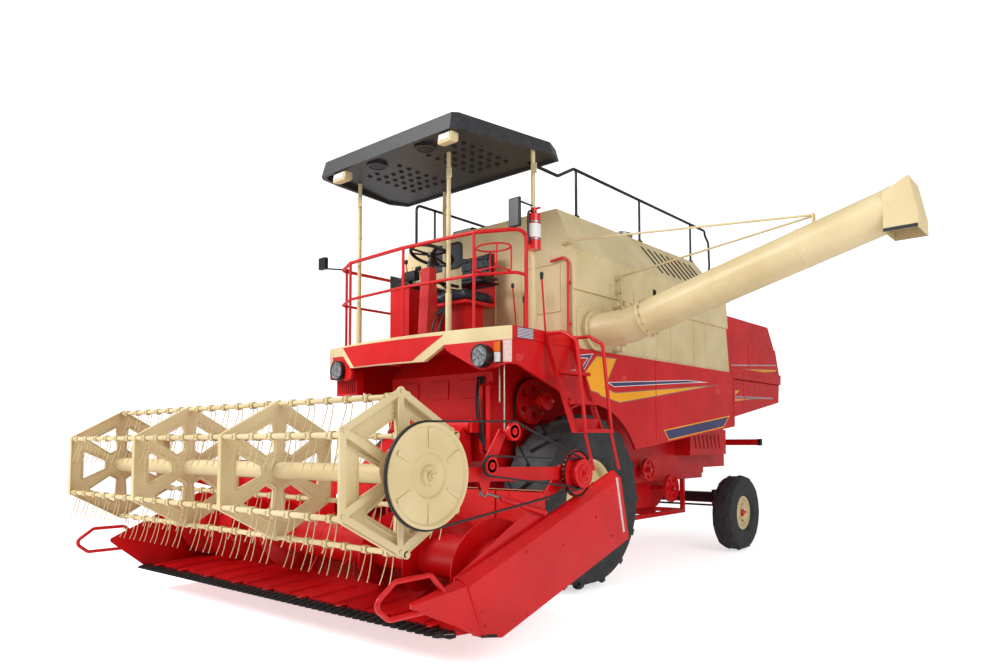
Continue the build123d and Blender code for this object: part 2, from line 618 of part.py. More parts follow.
canopy = extrude(Plane.XY.offset(CANOPY_Z) * canopy_plan(0), amount=CANOPY_H, taper=14)
canopy += extrude(Plane.XY.offset(CANOPY_Z + CANOPY_H) * canopy_plan(170), amount=CANOPY_STEP, taper=30)
canopy -= extrude(Plane.XY.offset(CANOPY_Z) * canopy_plan(35), amount=CANOPY_CEILING)
wedge = [(CANOPY_FRONT + 250, CANOPY_Z - 1), (CANOPY_REAR + 1, CANOPY_Z - 1),
         (CANOPY_REAR + 1, CANOPY_Z + 45)]
canopy -= prism_x(wedge, CANOPY_X - CANOPY_HALF_REAR, CANOPY_X + CANOPY_HALF_REAR)
for x in (CANOPY_X - 330, CANOPY_X + 330):
    bowl = Circle(95) - Circle(75)
    canopy += extrude(Pos(x, CANOPY_FRONT + 230, CANOPY_Z + CANOPY_CEILING - 30) * bowl, amount=35)
save("canopy", canopy)

GUARD_Z = TANK_TOP + 465
GUARD_REAR = COVER_TOP_REAR + 276
guards = []
near = POSTS[2][0] - POST_R - 15 - SEAT
guard_x = TANK_TOP_HALF - WALL / 2
fronts = {
    1: [(near, POSTS[2][1] - 20, CANOPY_Z - 70), (near, TANK_FRONT - 65, CANOPY_Z - 70)],
    -1: [(-guard_x, TANK_FRONT + 60, TANK_TOP), (-guard_x, TANK_FRONT + 60, GUARD_Z)],
}
for side, front in fronts.items():
    x = side * guard_x
    shoulder = [(x, TANK_FRONT + 295, GUARD_Z)] if side == 1 else []
    guard = [pipe(front + shoulder + [(x, GUARD_REAR, GUARD_Z)], 15, 60)]
    for y in (TANK_FRONT + 335, 1269, COVER_TOP_REAR - 54):
        guard.append(rod((x, y, TANK_TOP), (x, y, GUARD_Z), 13))
    guards.append(joined(guard))
save("tank_guard_rails", *guards)

SEAT_X = 150
SEAT_Y = -560
pan = [block(SEAT_X - 200, SEAT_X + 200, SEAT_Y - 200, SEAT_Y + 200, 2660, 2690),
       block(SEAT_X - 120, SEAT_X + 120, SEAT_Y - 120, SEAT_Y + 120, FLOOR_Z, 2665),
       block(SEAT_X - 190, SEAT_X + 190, SEAT_Y + 195, SEAT_Y + 215, 2660, 3200)]
save("seat_frame", joined(pan))
cushions = [block(SEAT_X - 240, SEAT_X + 240, SEAT_Y - 260, SEAT_Y + 180, 2690 + SEAT, 2790),
            block(SEAT_X - 230, SEAT_X + 230, SEAT_Y + 110, SEAT_Y + 195 - SEAT, 2860, 3220)]
save("seat_cushions", *cushions)
STEER_X = 60
STEER_Y = -980
column = [prism_x([(STEER_Y - 60, FLOOR_Z), (STEER_Y + 100, FLOOR_Z), (STEER_Y + 60, 2980),
                   (STEER_Y - 20, 2980)], STEER_X - 60, STEER_X + 60),
          rod((STEER_X, STEER_Y + 20, 2970), (STEER_X, STEER_Y + 60, 3110), 20)]
wheel_plane = Plane((STEER_X, STEER_Y + 61, 3114), z_dir=(0, 40, 140))
steering = [wheel_plane * Torus(200, 14), wheel_plane * Pos(0, 0, -2) * Cylinder(36, 30)]
for i in range(3):
    steering.append(wheel_plane * Rot(0, 0, 120 * i) * Pos(105, 0, 0) * Box(190, 26, 8))
save("steering_column", joined(column + steering))
console = block(-560, -280, -900, -420, FLOOR_Z, 2880)


# ================================================================ ladder and fittings

LADDER_Y = (-690, -310)
LADDER_X = PLATFORM_HALF + SEAT
LADDER_TOP = DECK_Z - 8
LADDER_LOW = 1430
LADDER_OUT = 290      # how far the stringers lean out
ladder = []
for y in LADDER_Y:
    foot_x = LADDER_X + LADDER_OUT
    ladder.append(prism_y([(LADDER_X, LADDER_TOP), (foot_x, LADDER_LOW), (foot_x + 50, LADDER_LOW),
                           (LADDER_X + 50, LADDER_TOP)], y - 14, y + 14))
    ladder.append(block(LADDER_X, LADDER_X + 50, y - 14, y + 14, LADDER_TOP - 5, KERB_Z - 10))
    ladder.append(pipe([(LADDER_X, y, KERB_Z - 26), (LADDER_X + 190, y, KERB_Z - 26),
                        (LADDER_X + 335, y, LADDER_TOP), (foot_x + 130, y, LADDER_LOW)], 16, 60))
    strap = [(y - 14, LADDER_LOW + 10), (y + 26, LADDER_LOW + 10), (y + 150, 1115), (y + 110, 1115)]
    ladder.append(prism_x(strap, foot_x + 112, foot_x + 118))
for z in (1960, 1700):
    step_x = LADDER_X + LADDER_OUT * (LADDER_TOP - z) / (LADDER_TOP - LADDER_LOW)
    tread = block(step_x, step_x + 115, *LADDER_Y, z - 30, z)
    ladder.append(tread - block(step_x + 4, step_x + 111, LADDER_Y[0] + 4, LADDER_Y[1] - 4, z - 31, z - 4))
ladder.append(block(foot_x, foot_x + 150, LADDER_Y[0] - 14, LADDER_Y[1] + 14, LADDER_LOW, LADDER_LOW + 5))
ladder.append(block(foot_x, foot_x + 5, *LADDER_Y, LADDER_LOW, LADDER_LOW + 120))
ladder.append(block(foot_x + 145, foot_x + 150, *LADDER_Y, LADDER_LOW, LADDER_LOW + 30))
save("ladder", joined(ladder))

post_x, post_y = POSTS[2]
FLASK_R = 60
flask_x = post_x + (FLASK_R + POST_R + SEAT) * 0.69
flask_y = post_y - (FLASK_R + POST_R + SEAT) * 0.724
flask = [Pos(flask_x, flask_y, 3165) * Cylinder(FLASK_R, 310), Pos(flask_x, flask_y, 3345) * Cylinder(26, 60)]
flask.append(block(flask_x - 10, flask_x + 70, flask_y - 8, flask_y + 8, 3360, 3375))
save("extinguisher", joined(flask))

mirror_left = [rod((post_x, post_y - POST_R - SEAT, 3420), (post_x, -912, 3420), 8),
               block(1040, 1160, -935, -910, 3190, 3440)]
rest_z = RAIL_TOP + RAIL_R + 8 + SEAT
mirror_right = [rod((-RAIL_X, -920, rest_z), (-1345, -1140, rest_z), 8),
                block(-1400, -1290, -1160, -1120, 3150, 3270)]
save("mirrors", joined(mirror_left), joined(mirror_right))

sticks = []
for i, x in enumerate((700, 860, 1010)):
    foot = Pos(x, -330 - i * 30, FLOOR_Z + 15) * Cylinder(22, 30)
    sticks.append(foot + rod((x, -330 - i * 30, FLOOR_Z + 10), (x, -330 - i * 60, 2700 + i * 80), 9))
save("console_and_levers", console, *sticks)

# ================================================================ side drives

BEATER = (-280, 1732)
COUNTER = (-420, 1250)
SLOTTED_X = CASING_HALF + 22
SLOTTED_W = 45
BEATER_R = 212
COUNTER_R = 90


def slotted(x, width, y, z, radius, holes, hole_r):
    """Drive pulley with a sunk, holed web between rim and hub."""
    wheel = drum(x, x + width, y, z, radius)
    wheel -= drum(x + width - 14, x + width + 1, y, z, radius - 16, radius * 0.3)
    for i in range(holes):
        a = 2 * pi * i / holes
        wheel -= drum(x - 1, x + width, y + radius * 0.62 * cos(a), z + radius * 0.62 * sin(a), hole_r)
    return wheel


beater_shaft = [slotted(SLOTTED_X, SLOTTED_W, *BEATER, BEATER_R, 5, 32),
                drum(880, 940, *BEATER, 85) - drum(905, 915, *BEATER, 86, 72),
                drum(CASING_HALF + SEAT, 1000, *BEATER, 28)]
counter_shaft = [drum(SLOTTED_X, SLOTTED_X + SLOTTED_W, *COUNTER, COUNTER_R),
                 drum(CASING_HALF + SEAT, SLOTTED_X + SLOTTED_W + 12, *COUNTER, 28)]
fan_drive = [slotted(820, 40, FAN_FRONT + 700, 800, 160, 6, 22),
             drum(FAN_HALF + SEAT, 890, FAN_FRONT + 700, 800, 28)]
sieve_drive = [slotted(760, 40, FAN_FRONT + 270, 1030, 125, 4, 20),
               drum(CASING_HALF + SEAT, 830, FAN_FRONT + 270, 1030, 28)]
save("side_drives", *[joined(shaft) for shaft in (beater_shaft, counter_shaft, fan_drive, sieve_drive)])


def belt(pulleys, x0, x1, thick):
    """Closed belt round pulleys given as (centre, radius), clockwise seen from the machine's left."""
    part = None
    for extra in (thick, 0):
        past = 1 - extra / thick
        corners, wraps = [], []
        for (c1, r1), (c2, r2) in zip(pulleys, pulleys[1:] + pulleys[:1]):
            dy, dz = c2[0] - c1[0], c2[1] - c1[1]
            lean = atan2(dz, dy) + acos((r1 - r2) / hypot(dy, dz))
            for centre, radius in ((c1, r1 + extra), (c2, r2 + extra)):
                corners.append((centre[0] + radius * cos(lean), centre[1] + radius * sin(lean)))
            wraps.append(drum(x0 - past, x1 + past, *c1, r1 + extra))
        whole = joined([prism_x(corners, x0 - past, x1 + past)] + wraps)
        part = whole if part is None else part - whole
    return part


save("drive_belt", belt([(COUNTER, COUNTER_R + SEAT), (BEATER, BEATER_R + SEAT)], SLOTTED_X + 8,
                        SLOTTED_X + 26, BELT_T))

# ================================================================ header

feeder_front = TROUGH_REAR + SEAT
feeder = prism_x([(PIVOT_Y + 20, PIVOT_Z + 40), (PIVOT_Y + 50, PIVOT_Z - 330), (feeder_front, 500),
                  (feeder_front, 960)], -FEEDER_HALF, FEEDER_HALF)
feeder -= prism_x([(PIVOT_Y - 70, PIVOT_Z - 60), (PIVOT_Y - 40, PIVOT_Z - 300), (feeder_front - 1, 520),
                   (feeder_front - 1, 925)], -FEEDER_HALF + 20, FEEDER_HALF - 20)
feeder += drum(-FEEDER_HALF - 60, FEEDER_HALF + 60, PIVOT_Y, PIVOT_Z, 60)
feeder -= drum(-FEEDER_HALF - 61, FEEDER_HALF + 61, PIVOT_Y, PIVOT_Z, 30 + RUN)
base = (-240, 660)
lift_eye = (-1400, 560)
for side in (-1, 1):
    x = side * LIFT_X
    for x0 in (x - LIFT_EAR - 16, x + LIFT_EAR):
        feeder += prism_x([(-1330, 730), (-1470, 630), (-1430, 530), (-1370, 530)], x0, x0 + 16)
    feeder += drum(x - 42, x + 42, *lift_eye, 18)
save("feeder_house", feeder)


def along(start, end, distance):
    """Point in Y and Z at a distance from start towards end."""
    length = hypot(end[0] - start[0], end[1] - start[1])
    share = distance / length
    return start[0] + (end[0] - start[0]) * share, start[1] + (end[1] - start[1]) * share


def cylinder_pair(xs, start, end, barrel, rod_from, radii, eyes):
    """Barrels and rods of like cylinders; radii are barrel, bore and rod, eyes their rings."""
    barrels, rods = [], []
    r_barrel, r_bore, r_rod = radii
    r_base, r_base_bore, r_end, r_end_bore, half = eyes
    for x in xs:
        tube = rod((x, *along(start, end, r_base - 6)), (x, *along(start, end, barrel)), r_barrel)
        tube -= rod((x, *along(start, end, r_base + 20)), (x, *along(start, end, barrel + 1)), r_bore)
        tube += drum(x - half, x + half, *start, r_base)
        barrels.append(tube - drum(x - half - 1, x + half + 1, *start, r_base_bore))
        length = hypot(end[0] - start[0], end[1] - start[1])
        stem = rod((x, *along(start, end, rod_from)), (x, *along(start, end, length - r_end + 4)), r_rod)
        stem += drum(x - half, x + half, *end, r_end)
        rods.append(stem - drum(x - half - 1, x + half + 1, *end, r_end_bore))
    return barrels, rods


barrels, rods = cylinder_pair((-LIFT_X, LIFT_X), base, lift_eye, 680, 330, (45, 27, 25),
                              (38, 20 + RUN, 38, 24, LIFT_EAR - SEAT))
save("header_lift_barrels", *barrels)
save("header_lift_rods", *rods)
bottom = AUGER_Z - AUGER_R - AUGER_GAP
sheet = prism_x([(TROUGH_BACK, TROUGH_TOP), (TROUGH_BACK, AUGER_Z), (-1700, 330), (AUGER_Y, bottom),
                 (KNIFE_Y + 60, KNIFE_Z), (KNIFE_Y + 60, KNIFE_Z - 22), (AUGER_Y, bottom - TROUGH_T),
                 (-1690, 320), (-1600, 500), (-1600, TROUGH_TOP)], TROUGH_LEFT, TROUGH_RIGHT)
far_end = prism_x([(-1600, TROUGH_TOP), (-1600, 400), (-1900, 160), (-2500, 200), (-2824, 470), (-2824, 500),
                   (-2000, 880)], TROUGH_LEFT - TROUGH_T, TROUGH_LEFT)
near_end = prism_x([(-1600, TROUGH_TOP), (-1600, 400), (-1900, 160), (-2450, 200), (-2500, 380), (-2470, 540),
                    (-1650, 960)], TROUGH_RIGHT, TROUGH_RIGHT + TROUGH_T)
ends = [sheet, far_end, near_end]
for z in (330, TROUGH_TOP - 60):
    ends.append(block(TROUGH_LEFT, TROUGH_RIGHT, -1600, TROUGH_REAR, z, z + 60))
for x in (-1400, -700, 700, 1400):
    ends.append(block(x - 15, x + 15, -1600, TROUGH_REAR, 330, TROUGH_TOP))
ends = joined(ends)
ends -= drum(TROUGH_LEFT - TROUGH_T - 1, TROUGH_RIGHT + TROUGH_T + 1, AUGER_Y, AUGER_Z, SHAFT_R + RUN)
ends -= block(-FEEDER_HALF + 30, FEEDER_HALF - 30, -1660, TROUGH_REAR + 5, 500, 900)


knife = [block(TROUGH_LEFT, TROUGH_RIGHT, KNIFE_Y, KNIFE_Y + 60 - SEAT, KNIFE_Z - 22, KNIFE_Z - 6)]
pitch = 76.2
count = int((TROUGH_RIGHT - TROUGH_LEFT) // pitch)
for i in range(count):
    x = TROUGH_LEFT + 50 + i * pitch
    knife.append(prism_z([(x - 14, KNIFE_Y + 5), (x, KNIFE_Y - 62), (x + 14, KNIFE_Y + 5)],
                         KNIFE_Z - 16, KNIFE_Z + 6))
save("cutter_bar", joined(knife))



def divider_loop(x):
    """Bent tube round the nose of a crop divider."""
    return pipe([(x, -2660, 400), (x, -3000, 400), (x, -3110, 490), (x, -2960, 600), (x, -2700, 600),
                 (x, -2560, 450)], LOOP_R, 45)


shield_x0 = TROUGH_RIGHT + TROUGH_T + SEAT
shield_mid = shield_x0 + SHIELD_W / 2
shield = prism_x([(KNIFE_Y + 40, 544), (SHIELD_REAR, SHIELD_TOP_REAR), (SHIELD_REAR + 120, 600), (-2140, 140),
                  (-2320, 175), (-2400, 400)], shield_x0, shield_x0 + SHIELD_W)
top_edge = shield.edges().sort_by_distance((shield_x0 + SHIELD_W, (KNIFE_Y + SHIELD_REAR) / 2, 837))[0]
shield = chamfer(top_edge, SHIELD_W - 30)


def nose_ring(y, half, low, high):
    """Section across the divider's nose with its outer upper corner cut off."""
    plane = Plane((shield_mid, y, 0), x_dir=(1, 0, 0), z_dir=(0, -1, 0))
    return plane * Polygon((-half, low), (half, low), (half, high - half), (-half * 0.3, high), (-half, high),
                           align=None)


nose = loft([nose_ring(-2300, SHIELD_W / 2, 172, 560), nose_ring(-2850, 10, 436, 462)], ruled=True)
save("drive_shield", joined([shield, nose, divider_loop(shield_mid)]))
JACK_X = PULLEY_X - 14
jack = [drum(JACK_X, JACK_X + 56, ARM_PIVOT_Y, ARM_PIVOT_Z, JACK_R),
        drum(1900, PULLEY_X + PULLEY_W + 10, ARM_PIVOT_Y, ARM_PIVOT_Z, SHAFT_R)]
for x0, x1 in ((-2, 3), (21, 27), (45, 56)):
    jack.append(drum(JACK_X + x0, JACK_X + x1, ARM_PIVOT_Y, ARM_PIVOT_Z, JACK_R + 8))
star = []
for i in range(TEETH):
    for turn, deep in ((-0.32, -8), (-0.12, 8), (0.12, 8), (0.32, -8)):
        a = 2 * pi * (i + turn) / TEETH
        radius = CHAIN_R + deep
        star.append((ARM_PIVOT_Y + radius * cos(a), ARM_PIVOT_Z + radius * sin(a)))
jack.append(prism_x(star, JACK_X - 16, JACK_X - 4))
far_stub = drum(ARM_LEFT - ARM_T / 2 - 6, ARM_LEFT + 70, ARM_PIVOT_Y, ARM_PIVOT_Z, SHAFT_R)
jack.append(drum(JACK_X - 5, JACK_X + 1, ARM_PIVOT_Y, ARM_PIVOT_Z, 60))
save("header_jackshaft", joined(jack), far_stub)
mounts = []
for x in (1915, ARM_LEFT + 35):
    ear = prism_x([(TROUGH_REAR - 5, TROUGH_TOP), (TROUGH_REAR - 5, TROUGH_TOP - 60),
                   (ARM_PIVOT_Y + 60, ARM_PIVOT_Z - 70), (ARM_PIVOT_Y + 60, ARM_PIVOT_Z + 60),
                   (ARM_PIVOT_Y - 60, ARM_PIVOT_Z + 60)], x, x + 20)
    mounts.append(ear - drum(x - 1, x + 21, ARM_PIVOT_Y, ARM_PIVOT_Z, SHAFT_R + RUN))
reel_base = (-1640, 870)
reel_eye = (-2250, 1045)
pins = [drum(TROUGH_RIGHT, ARM_RIGHT + 16, *reel_base, 10),
        drum(TROUGH_LEFT - 1, ARM_LEFT + 16, *reel_base, 10)]
far_loop = divider_loop(TROUGH_LEFT - TROUGH_T - LOOP_OUT + LOOP_R)
save("header_trough", joined([ends] + mounts + pins + [far_loop]))
barrels, rods = cylinder_pair((ARM_LEFT, ARM_RIGHT), reel_base, reel_eye, 480, 250, (21, 12, 10),
                              (18, 10 + RUN, 29, 22, ARM_T / 2 - 3 - SEAT))
save("reel_lift_barrels", *barrels)
save("reel_lift_rods", *rods)

core = drum(TROUGH_LEFT + FREE, TROUGH_RIGHT - FREE, AUGER_Y, AUGER_Z, AUGER_CORE_R)
journal = drum(TROUGH_LEFT - TROUGH_T, TROUGH_RIGHT + TROUGH_T, AUGER_Y, AUGER_Z, SHAFT_R)


def flight(outer, inner, lefthand):
    """Helical flight on the auger's core, from its outer end in to its inner end."""
    deep = AUGER_R - AUGER_CORE_R + 12
    path = Helix(FLIGHT_PITCH, abs(outer - inner), AUGER_R - deep / 2, lefthand=lefthand)
    edge = Plane(path @ 0, x_dir=(1, 0, 0), z_dir=path % 0) * Rectangle(deep, FLIGHT_T)
    turned = 90 if outer > inner else -90
    middle = inner if outer > inner else outer
    low = Pos(min(outer, inner), AUGER_Y, AUGER_Z) if outer < inner else Pos(middle, AUGER_Y, AUGER_Z)
    return low * Rot(0, 90, 0) * Rot(0, 0, turned) * sweep(edge, path=path, is_frenet=True)


flights = [flight(TROUGH_LEFT + FREE + 10, -FLIGHT_IN, False),
           flight(TROUGH_RIGHT - FREE - 10, FLIGHT_IN, True)]
fingers = []
for i in range(FINGERS):
    a = radians(150 * i)
    x = FLIGHT_IN * (2 * i + 1 - FINGERS) / FINGERS
    end = (x, AUGER_Y + (AUGER_R - 5) * cos(a), AUGER_Z + (AUGER_R - 5) * sin(a))
    fingers.append(rod((x, AUGER_Y, AUGER_Z), end, 9))
save("header_auger", core.fuse(journal, *flights, *fingers))

# ================================================================ reel

arms = []
for x in (ARM_LEFT, ARM_RIGHT):
    arm = prism_x([(ARM_PIVOT_Y + 50, ARM_PIVOT_Z - ARM_H / 2), (ARM_PIVOT_Y + 50, ARM_PIVOT_Z + ARM_H / 2),
                   (REEL_Y - 60, REEL_Z + ARM_H / 2), (REEL_Y - 60, REEL_Z - ARM_H / 2)],
                  x - ARM_T / 2, x + ARM_T / 2)
    arm -= drum(x - 50, x + 50, ARM_PIVOT_Y, ARM_PIVOT_Z, SHAFT_R + RUN)
    arms.append(arm)
    for x0 in (x - ARM_T / 2, x + 11 + 1):
        y, z = reel_eye
        ear = prism_x([(y + 60, z + 80), (y - 60, z + 80), (y - 14, z - 14), (y + 14, z - 14)], x0, x0 + 3)
        arms[-1] += ear
    arms[-1] += drum(x - ARM_T / 2, x + ARM_T / 2, *reel_eye, 9)
control_y = REEL_Y + CRANK_Y
control_z = REEL_Z + CRANK_Z
crank_x = REEL_RIGHT
frame_x = crank_x + CRANK_T + 6
disc = drum(frame_x - 2, frame_x + CRANK_T + 2, control_y, control_z, 120)
arms[1] = joined([arms[1], disc, drum(frame_x + CRANK_T + 2, ARM_RIGHT, REEL_Y, REEL_Z, 44)])
arms = [arm - drum(-2200, 2200, REEL_Y, REEL_Z, SHAFT_R + RUN) for arm in arms]
UPPER_IDLER = (-2071, 1423)
LOWER_IDLER = (-2256, 1209)
bracket = prism_x([(-2320, 1150), (-2200, 1150), (-2030, 1440), (-2110, 1440)],
                  ARM_RIGHT + 3, ARM_RIGHT + ARM_T / 2)
idlers = [bracket]
for centre, x0, radius in ((UPPER_IDLER, JACK_X + 24, IDLER_R), (LOWER_IDLER, JACK_X, IDLER_R - 2)):
    idlers.append(drum(x0, x0 + 24, *centre, radius))
    idlers.append(drum(x0 + 23, x0 + 26, *centre, 24))
    idlers.append(drum(ARM_RIGHT + 3, x0 + 1, *centre, 16))
arms[1] = joined([arms[1]] + idlers)
save("reel_arms", *arms)

shaft = [drum(REEL_LEFT, REEL_RIGHT - 20, REEL_Y, REEL_Z, REEL_SHAFT_R),
         drum(ARM_LEFT - ARM_T / 2, REEL_LEFT + 1, REEL_Y, REEL_Z, SHAFT_R),
         drum(REEL_RIGHT - 21, PULLEY_X + PULLEY_W + 12, REEL_Y, REEL_Z, SHAFT_R)]


def reel_point(k, y=REEL_Y, z=REEL_Z, r=REEL_R):
    a = radians(30 + 360 / BATS * k)
    return y + r * cos(a), z + r * sin(a)


def frame_edge(radius, x0, x1):
    """Hexagon of the reel's frames, drawn out from x0 to x1."""
    return prism_x([reel_point(k, r=radius) for k in range(BATS)], x0, x1)


def frame_hole(k, grown, x0, x1):
    """Opening between two spokes of a reel frame, grown on all sides."""
    a = radians(60 + 360 / BATS * k)
    corners = ((135 - grown, -32 - grown), (310 + grown, -118 - grown), (310 + grown, 118 + grown),
               (135 - grown, 32 + grown))
    return prism_x([(REEL_Y + out * cos(a) - across * sin(a), REEL_Z + out * sin(a) + across * cos(a))
                    for out, across in corners], x0, x1)


first, last = REEL_LEFT + 30, REEL_RIGHT - 40
EDGE_R = REEL_R + BAT_R + 10
plates = []
for i in range(PLATES):
    x = first + (last - first) * i / (PLATES - 1)
    fold_x = x - FOLD if i else x + PLATE_T + FOLD
    fold = (min(x, fold_x), max(x, fold_x))
    plate = frame_edge(EDGE_R, *fold) - frame_edge(EDGE_R - 5, fold[0] - 1, fold[1] + 1)
    plate += frame_edge(EDGE_R, x, x + PLATE_T)
    lip = (x - 14, x) if i else (x + PLATE_T, x + PLATE_T + 14)
    for k in range(BATS):
        plate += frame_hole(k, 5, *lip)
    for k in range(BATS):
        plate -= frame_hole(k, 0, x - 20, x + PLATE_T + 20)
        plate -= drum(x - 20, x + PLATE_T + 20, *reel_point(k), BAT_R + RUN)
    plates.append(plate)
bay = (last - first) / (PLATES - 1)
tine_places = []
for i in range(TINES):
    x = first + 75 + (last - first - 150) * i / (TINES - 1)
    from_frame = (x - first) % bay
    if FOLD + 20 < from_frame < bay - FOLD - 20:
        tine_places.append(x)


for k in range(BATS):
    y, z = reel_point(k)
    bat = [drum(REEL_LEFT, REEL_RIGHT + 1, y, z, BAT_R)]
    ends = [(y, z), (y + CRANK_Y, z + CRANK_Z)]
    bat.append(drum(crank_x, crank_x + CRANK_T, y, z, 26))
    bat.append(drum(crank_x, crank_x + CRANK_T, *ends[1], 20))
    bat.append(prism_x([(y + 8, z + 18), (y - 8, z - 18), (ends[1][0] - 6, ends[1][1] - 16),
                        (ends[1][0] + 6, ends[1][1] + 16)], crank_x, crank_x + CRANK_T))
    bat.append(drum(crank_x + CRANK_T - 1, frame_x + CRANK_T + 8, *ends[1], 10))
    for x in tine_places:
        bat.append(prism_x([(y - 6, z), (y + 4, z), (y - 26, z - TINE_LEN), (y - 32, z - TINE_LEN)],
                           x - TINE_HALF, x + TINE_HALF))
    save(f"reel_bat_{k + 1}", bat[0].fuse(*bat[1:]))

control = [drum(frame_x, frame_x + CRANK_T, control_y, control_z, 150)]
for k in range(BATS):
    a = radians(30 + 360 / BATS * k)
    y, z = reel_point(k, control_y, control_z)
    ny, nz = reel_point(k + 1, control_y, control_z)
    control.append(drum(frame_x, frame_x + CRANK_T, y, z, 26))
    s_, c_ = sin(a) * 20, cos(a) * 20
    control.append(prism_x([(control_y - s_, control_z + c_), (control_y + s_, control_z - c_),
                            (y + s_, z - c_), (y - s_, z + c_)], frame_x, frame_x + CRANK_T))
    b = atan2(nz - z, ny - y)
    s_, c_ = sin(b) * 20, cos(b) * 20
    control.append(prism_x([(y - s_, z + c_), (y + s_, z - c_), (ny + s_, nz - c_), (ny - s_, nz + c_)],
                           frame_x, frame_x + CRANK_T))
control = joined(control) - drum(frame_x - 1, frame_x + CRANK_T + 1, control_y, control_z, 120 + RUN)
for k in range(BATS):
    control -= drum(frame_x - 1, frame_x + CRANK_T + 1, *reel_point(k, control_y, control_z), 10 + RUN)
save("reel_control_frame", control)

half_w = PULLEY_W / 2
dish = [(-half_w, PULLEY_R), (half_w, PULLEY_R), (half_w, PULLEY_R - 16), (6, PULLEY_R - 30),
        (14, 150), (14, 130), (2, 118), (2, 62), (half_w, 52), (half_w, SHAFT_R + SEAT), (-half_w, SHAFT_R + SEAT), (-half_w, 60),
        (-6, 66), (-6, 120), (6, 134), (-2, PULLEY_R - 34), (-half_w, PULLEY_R - 20)]
pulley = spin(PULLEY_X + half_w, REEL_Y, REEL_Z, dish)
for i in range(6):
    rib = block(4, 17, -11, 11, 155, PULLEY_R - 34)
    pulley += Pos(PULLEY_X + half_w, REEL_Y, REEL_Z) * Rot(60 * i, 0, 0) * rib
save("reel_frame", joined(shaft + plates), pulley)

reel_drive = [((REEL_Y, REEL_Z), PULLEY_R + SEAT), (UPPER_IDLER, IDLER_R + SEAT),
              ((ARM_PIVOT_Y, ARM_PIVOT_Z), JACK_R + SEAT)]
idler_drive = [(LOWER_IDLER, IDLER_R - 2 + SEAT), ((ARM_PIVOT_Y, ARM_PIVOT_Z), JACK_R + SEAT)]
save("reel_belt", belt(reel_drive, JACK_X + 28, JACK_X + 44, BELT_T),
     belt(idler_drive, JACK_X + 4, JACK_X + 20, BELT_T))

# ================================================================ unloading auger

rise = tan(radians(SPOUT_RISE))
away = Vector(cos(radians(SPOUT_RISE)), 0, sin(radians(SPOUT_RISE)))
start_x = BODY_HALF + 22 + SEAT
elbow = Vector(ELBOW_X, FLANGE_Y, FLANGE_Z)
tip = Vector(TIP_X, FLANGE_Y, FLANGE_Z + (TIP_X - ELBOW_X) * rise)
joint = elbow + away * 210
bore = drum(start_x - 1, ELBOW_X, FLANGE_Y, FLANGE_Z, SPOUT_R - SPOUT_WALL)
bore += Pos(*elbow) * Sphere(SPOUT_R - SPOUT_WALL)
bore += extrude(Plane(elbow, z_dir=away) * Circle(SPOUT_R - SPOUT_WALL), amount=(tip - elbow).length + 1)
bend = drum(start_x, ELBOW_X, FLANGE_Y, FLANGE_Z, SPOUT_R) + Pos(*elbow) * Sphere(SPOUT_R)
bend += extrude(Plane(elbow, z_dir=away) * Circle(SPOUT_R), amount=210)
bend += drum(start_x, start_x + 14, FLANGE_Y, FLANGE_Z, 190)
bend += extrude(Plane(joint - away * 12, z_dir=away) * Circle(SPOUT_R + 22), amount=12)
for z in (2520, 2290):
    bend += prism_z([(start_x + 30, SWING_Y + 24), (SWING_X + 40, SWING_Y + 24),
                     (ELBOW_X - 60, FLANGE_Y + 60), (start_x + 30, FLANGE_Y + 60)], z - 12, z + 12)
bend -= bore
bend -= Pos(SWING_X, SWING_Y, 2600) * Cylinder(SWING_PIN_R + RUN, 1000)


def chute_form(wall, low):
    """The outlet box at the tube's end, drawn in by wall."""
    return prism_y([(TIP_X - 130 + wall, low), (TIP_X + CHUTE_OUT - wall, low),
                    (TIP_X + CHUTE_OUT - wall, 2930), (TIP_X + 40 - wall, tip.Z + 150 - 2 * wall), (TIP_X - 130 + wall, tip.Z + 60 - wall)],
                   FLANGE_Y - 156 + wall, FLANGE_Y + 156 - wall)


tube = extrude(Plane(joint + away * SEAT, z_dir=away) * Circle(SPOUT_R), amount=(tip - joint).length)
tube += extrude(Plane(joint + away * SEAT, z_dir=away) * Circle(SPOUT_R + 22), amount=12)
eye_z = FLANGE_Z + (STAY_X - ELBOW_X) * rise + SPOUT_R / cos(radians(SPOUT_RISE)) + 60
tube += block(STAY_X - 8, STAY_X + 8, FLANGE_Y - 24, FLANGE_Y + 24, eye_z - 80, eye_z + 15)
tube -= bore
tube -= chute_form(-SEAT, CHUTE_LOW - 1)
chute = chute_form(0, CHUTE_LOW) - chute_form(8, CHUTE_LOW - 1) - bore
past_lug = block(STAY_X - 8 - SEAT, STAY_X + 40, FLANGE_Y - 60, FLANGE_Y + 60, eye_z - 60, eye_z + 60)
ring_z = SWING_HIGH - 14
rear_stay = rod((SWING_X, SWING_Y, ring_z), (STAY_X, FLANGE_Y + 12, eye_z), STAY_R)
rear_stay += Pos(SWING_X, SWING_Y, ring_z) * Cylinder(24, 14)
rear_stay -= Pos(SWING_X, SWING_Y, ring_z) * Cylinder(SWING_PIN_R + RUN, 60)
front_stay = rod((HOOK_X, TANK_FRONT - 55, HOOK_Z), (STAY_X, FLANGE_Y - 12, eye_z), STAY_R)
save("unloading_tube", bend, tube, chute, rear_stay - past_lug, front_stay - past_lug)
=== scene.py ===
"""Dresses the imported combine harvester: finishes, small forms, lamps, cushions and a pale studio."""
import json
import math

import bmesh
import bpy
from mathutils import Matrix, Vector


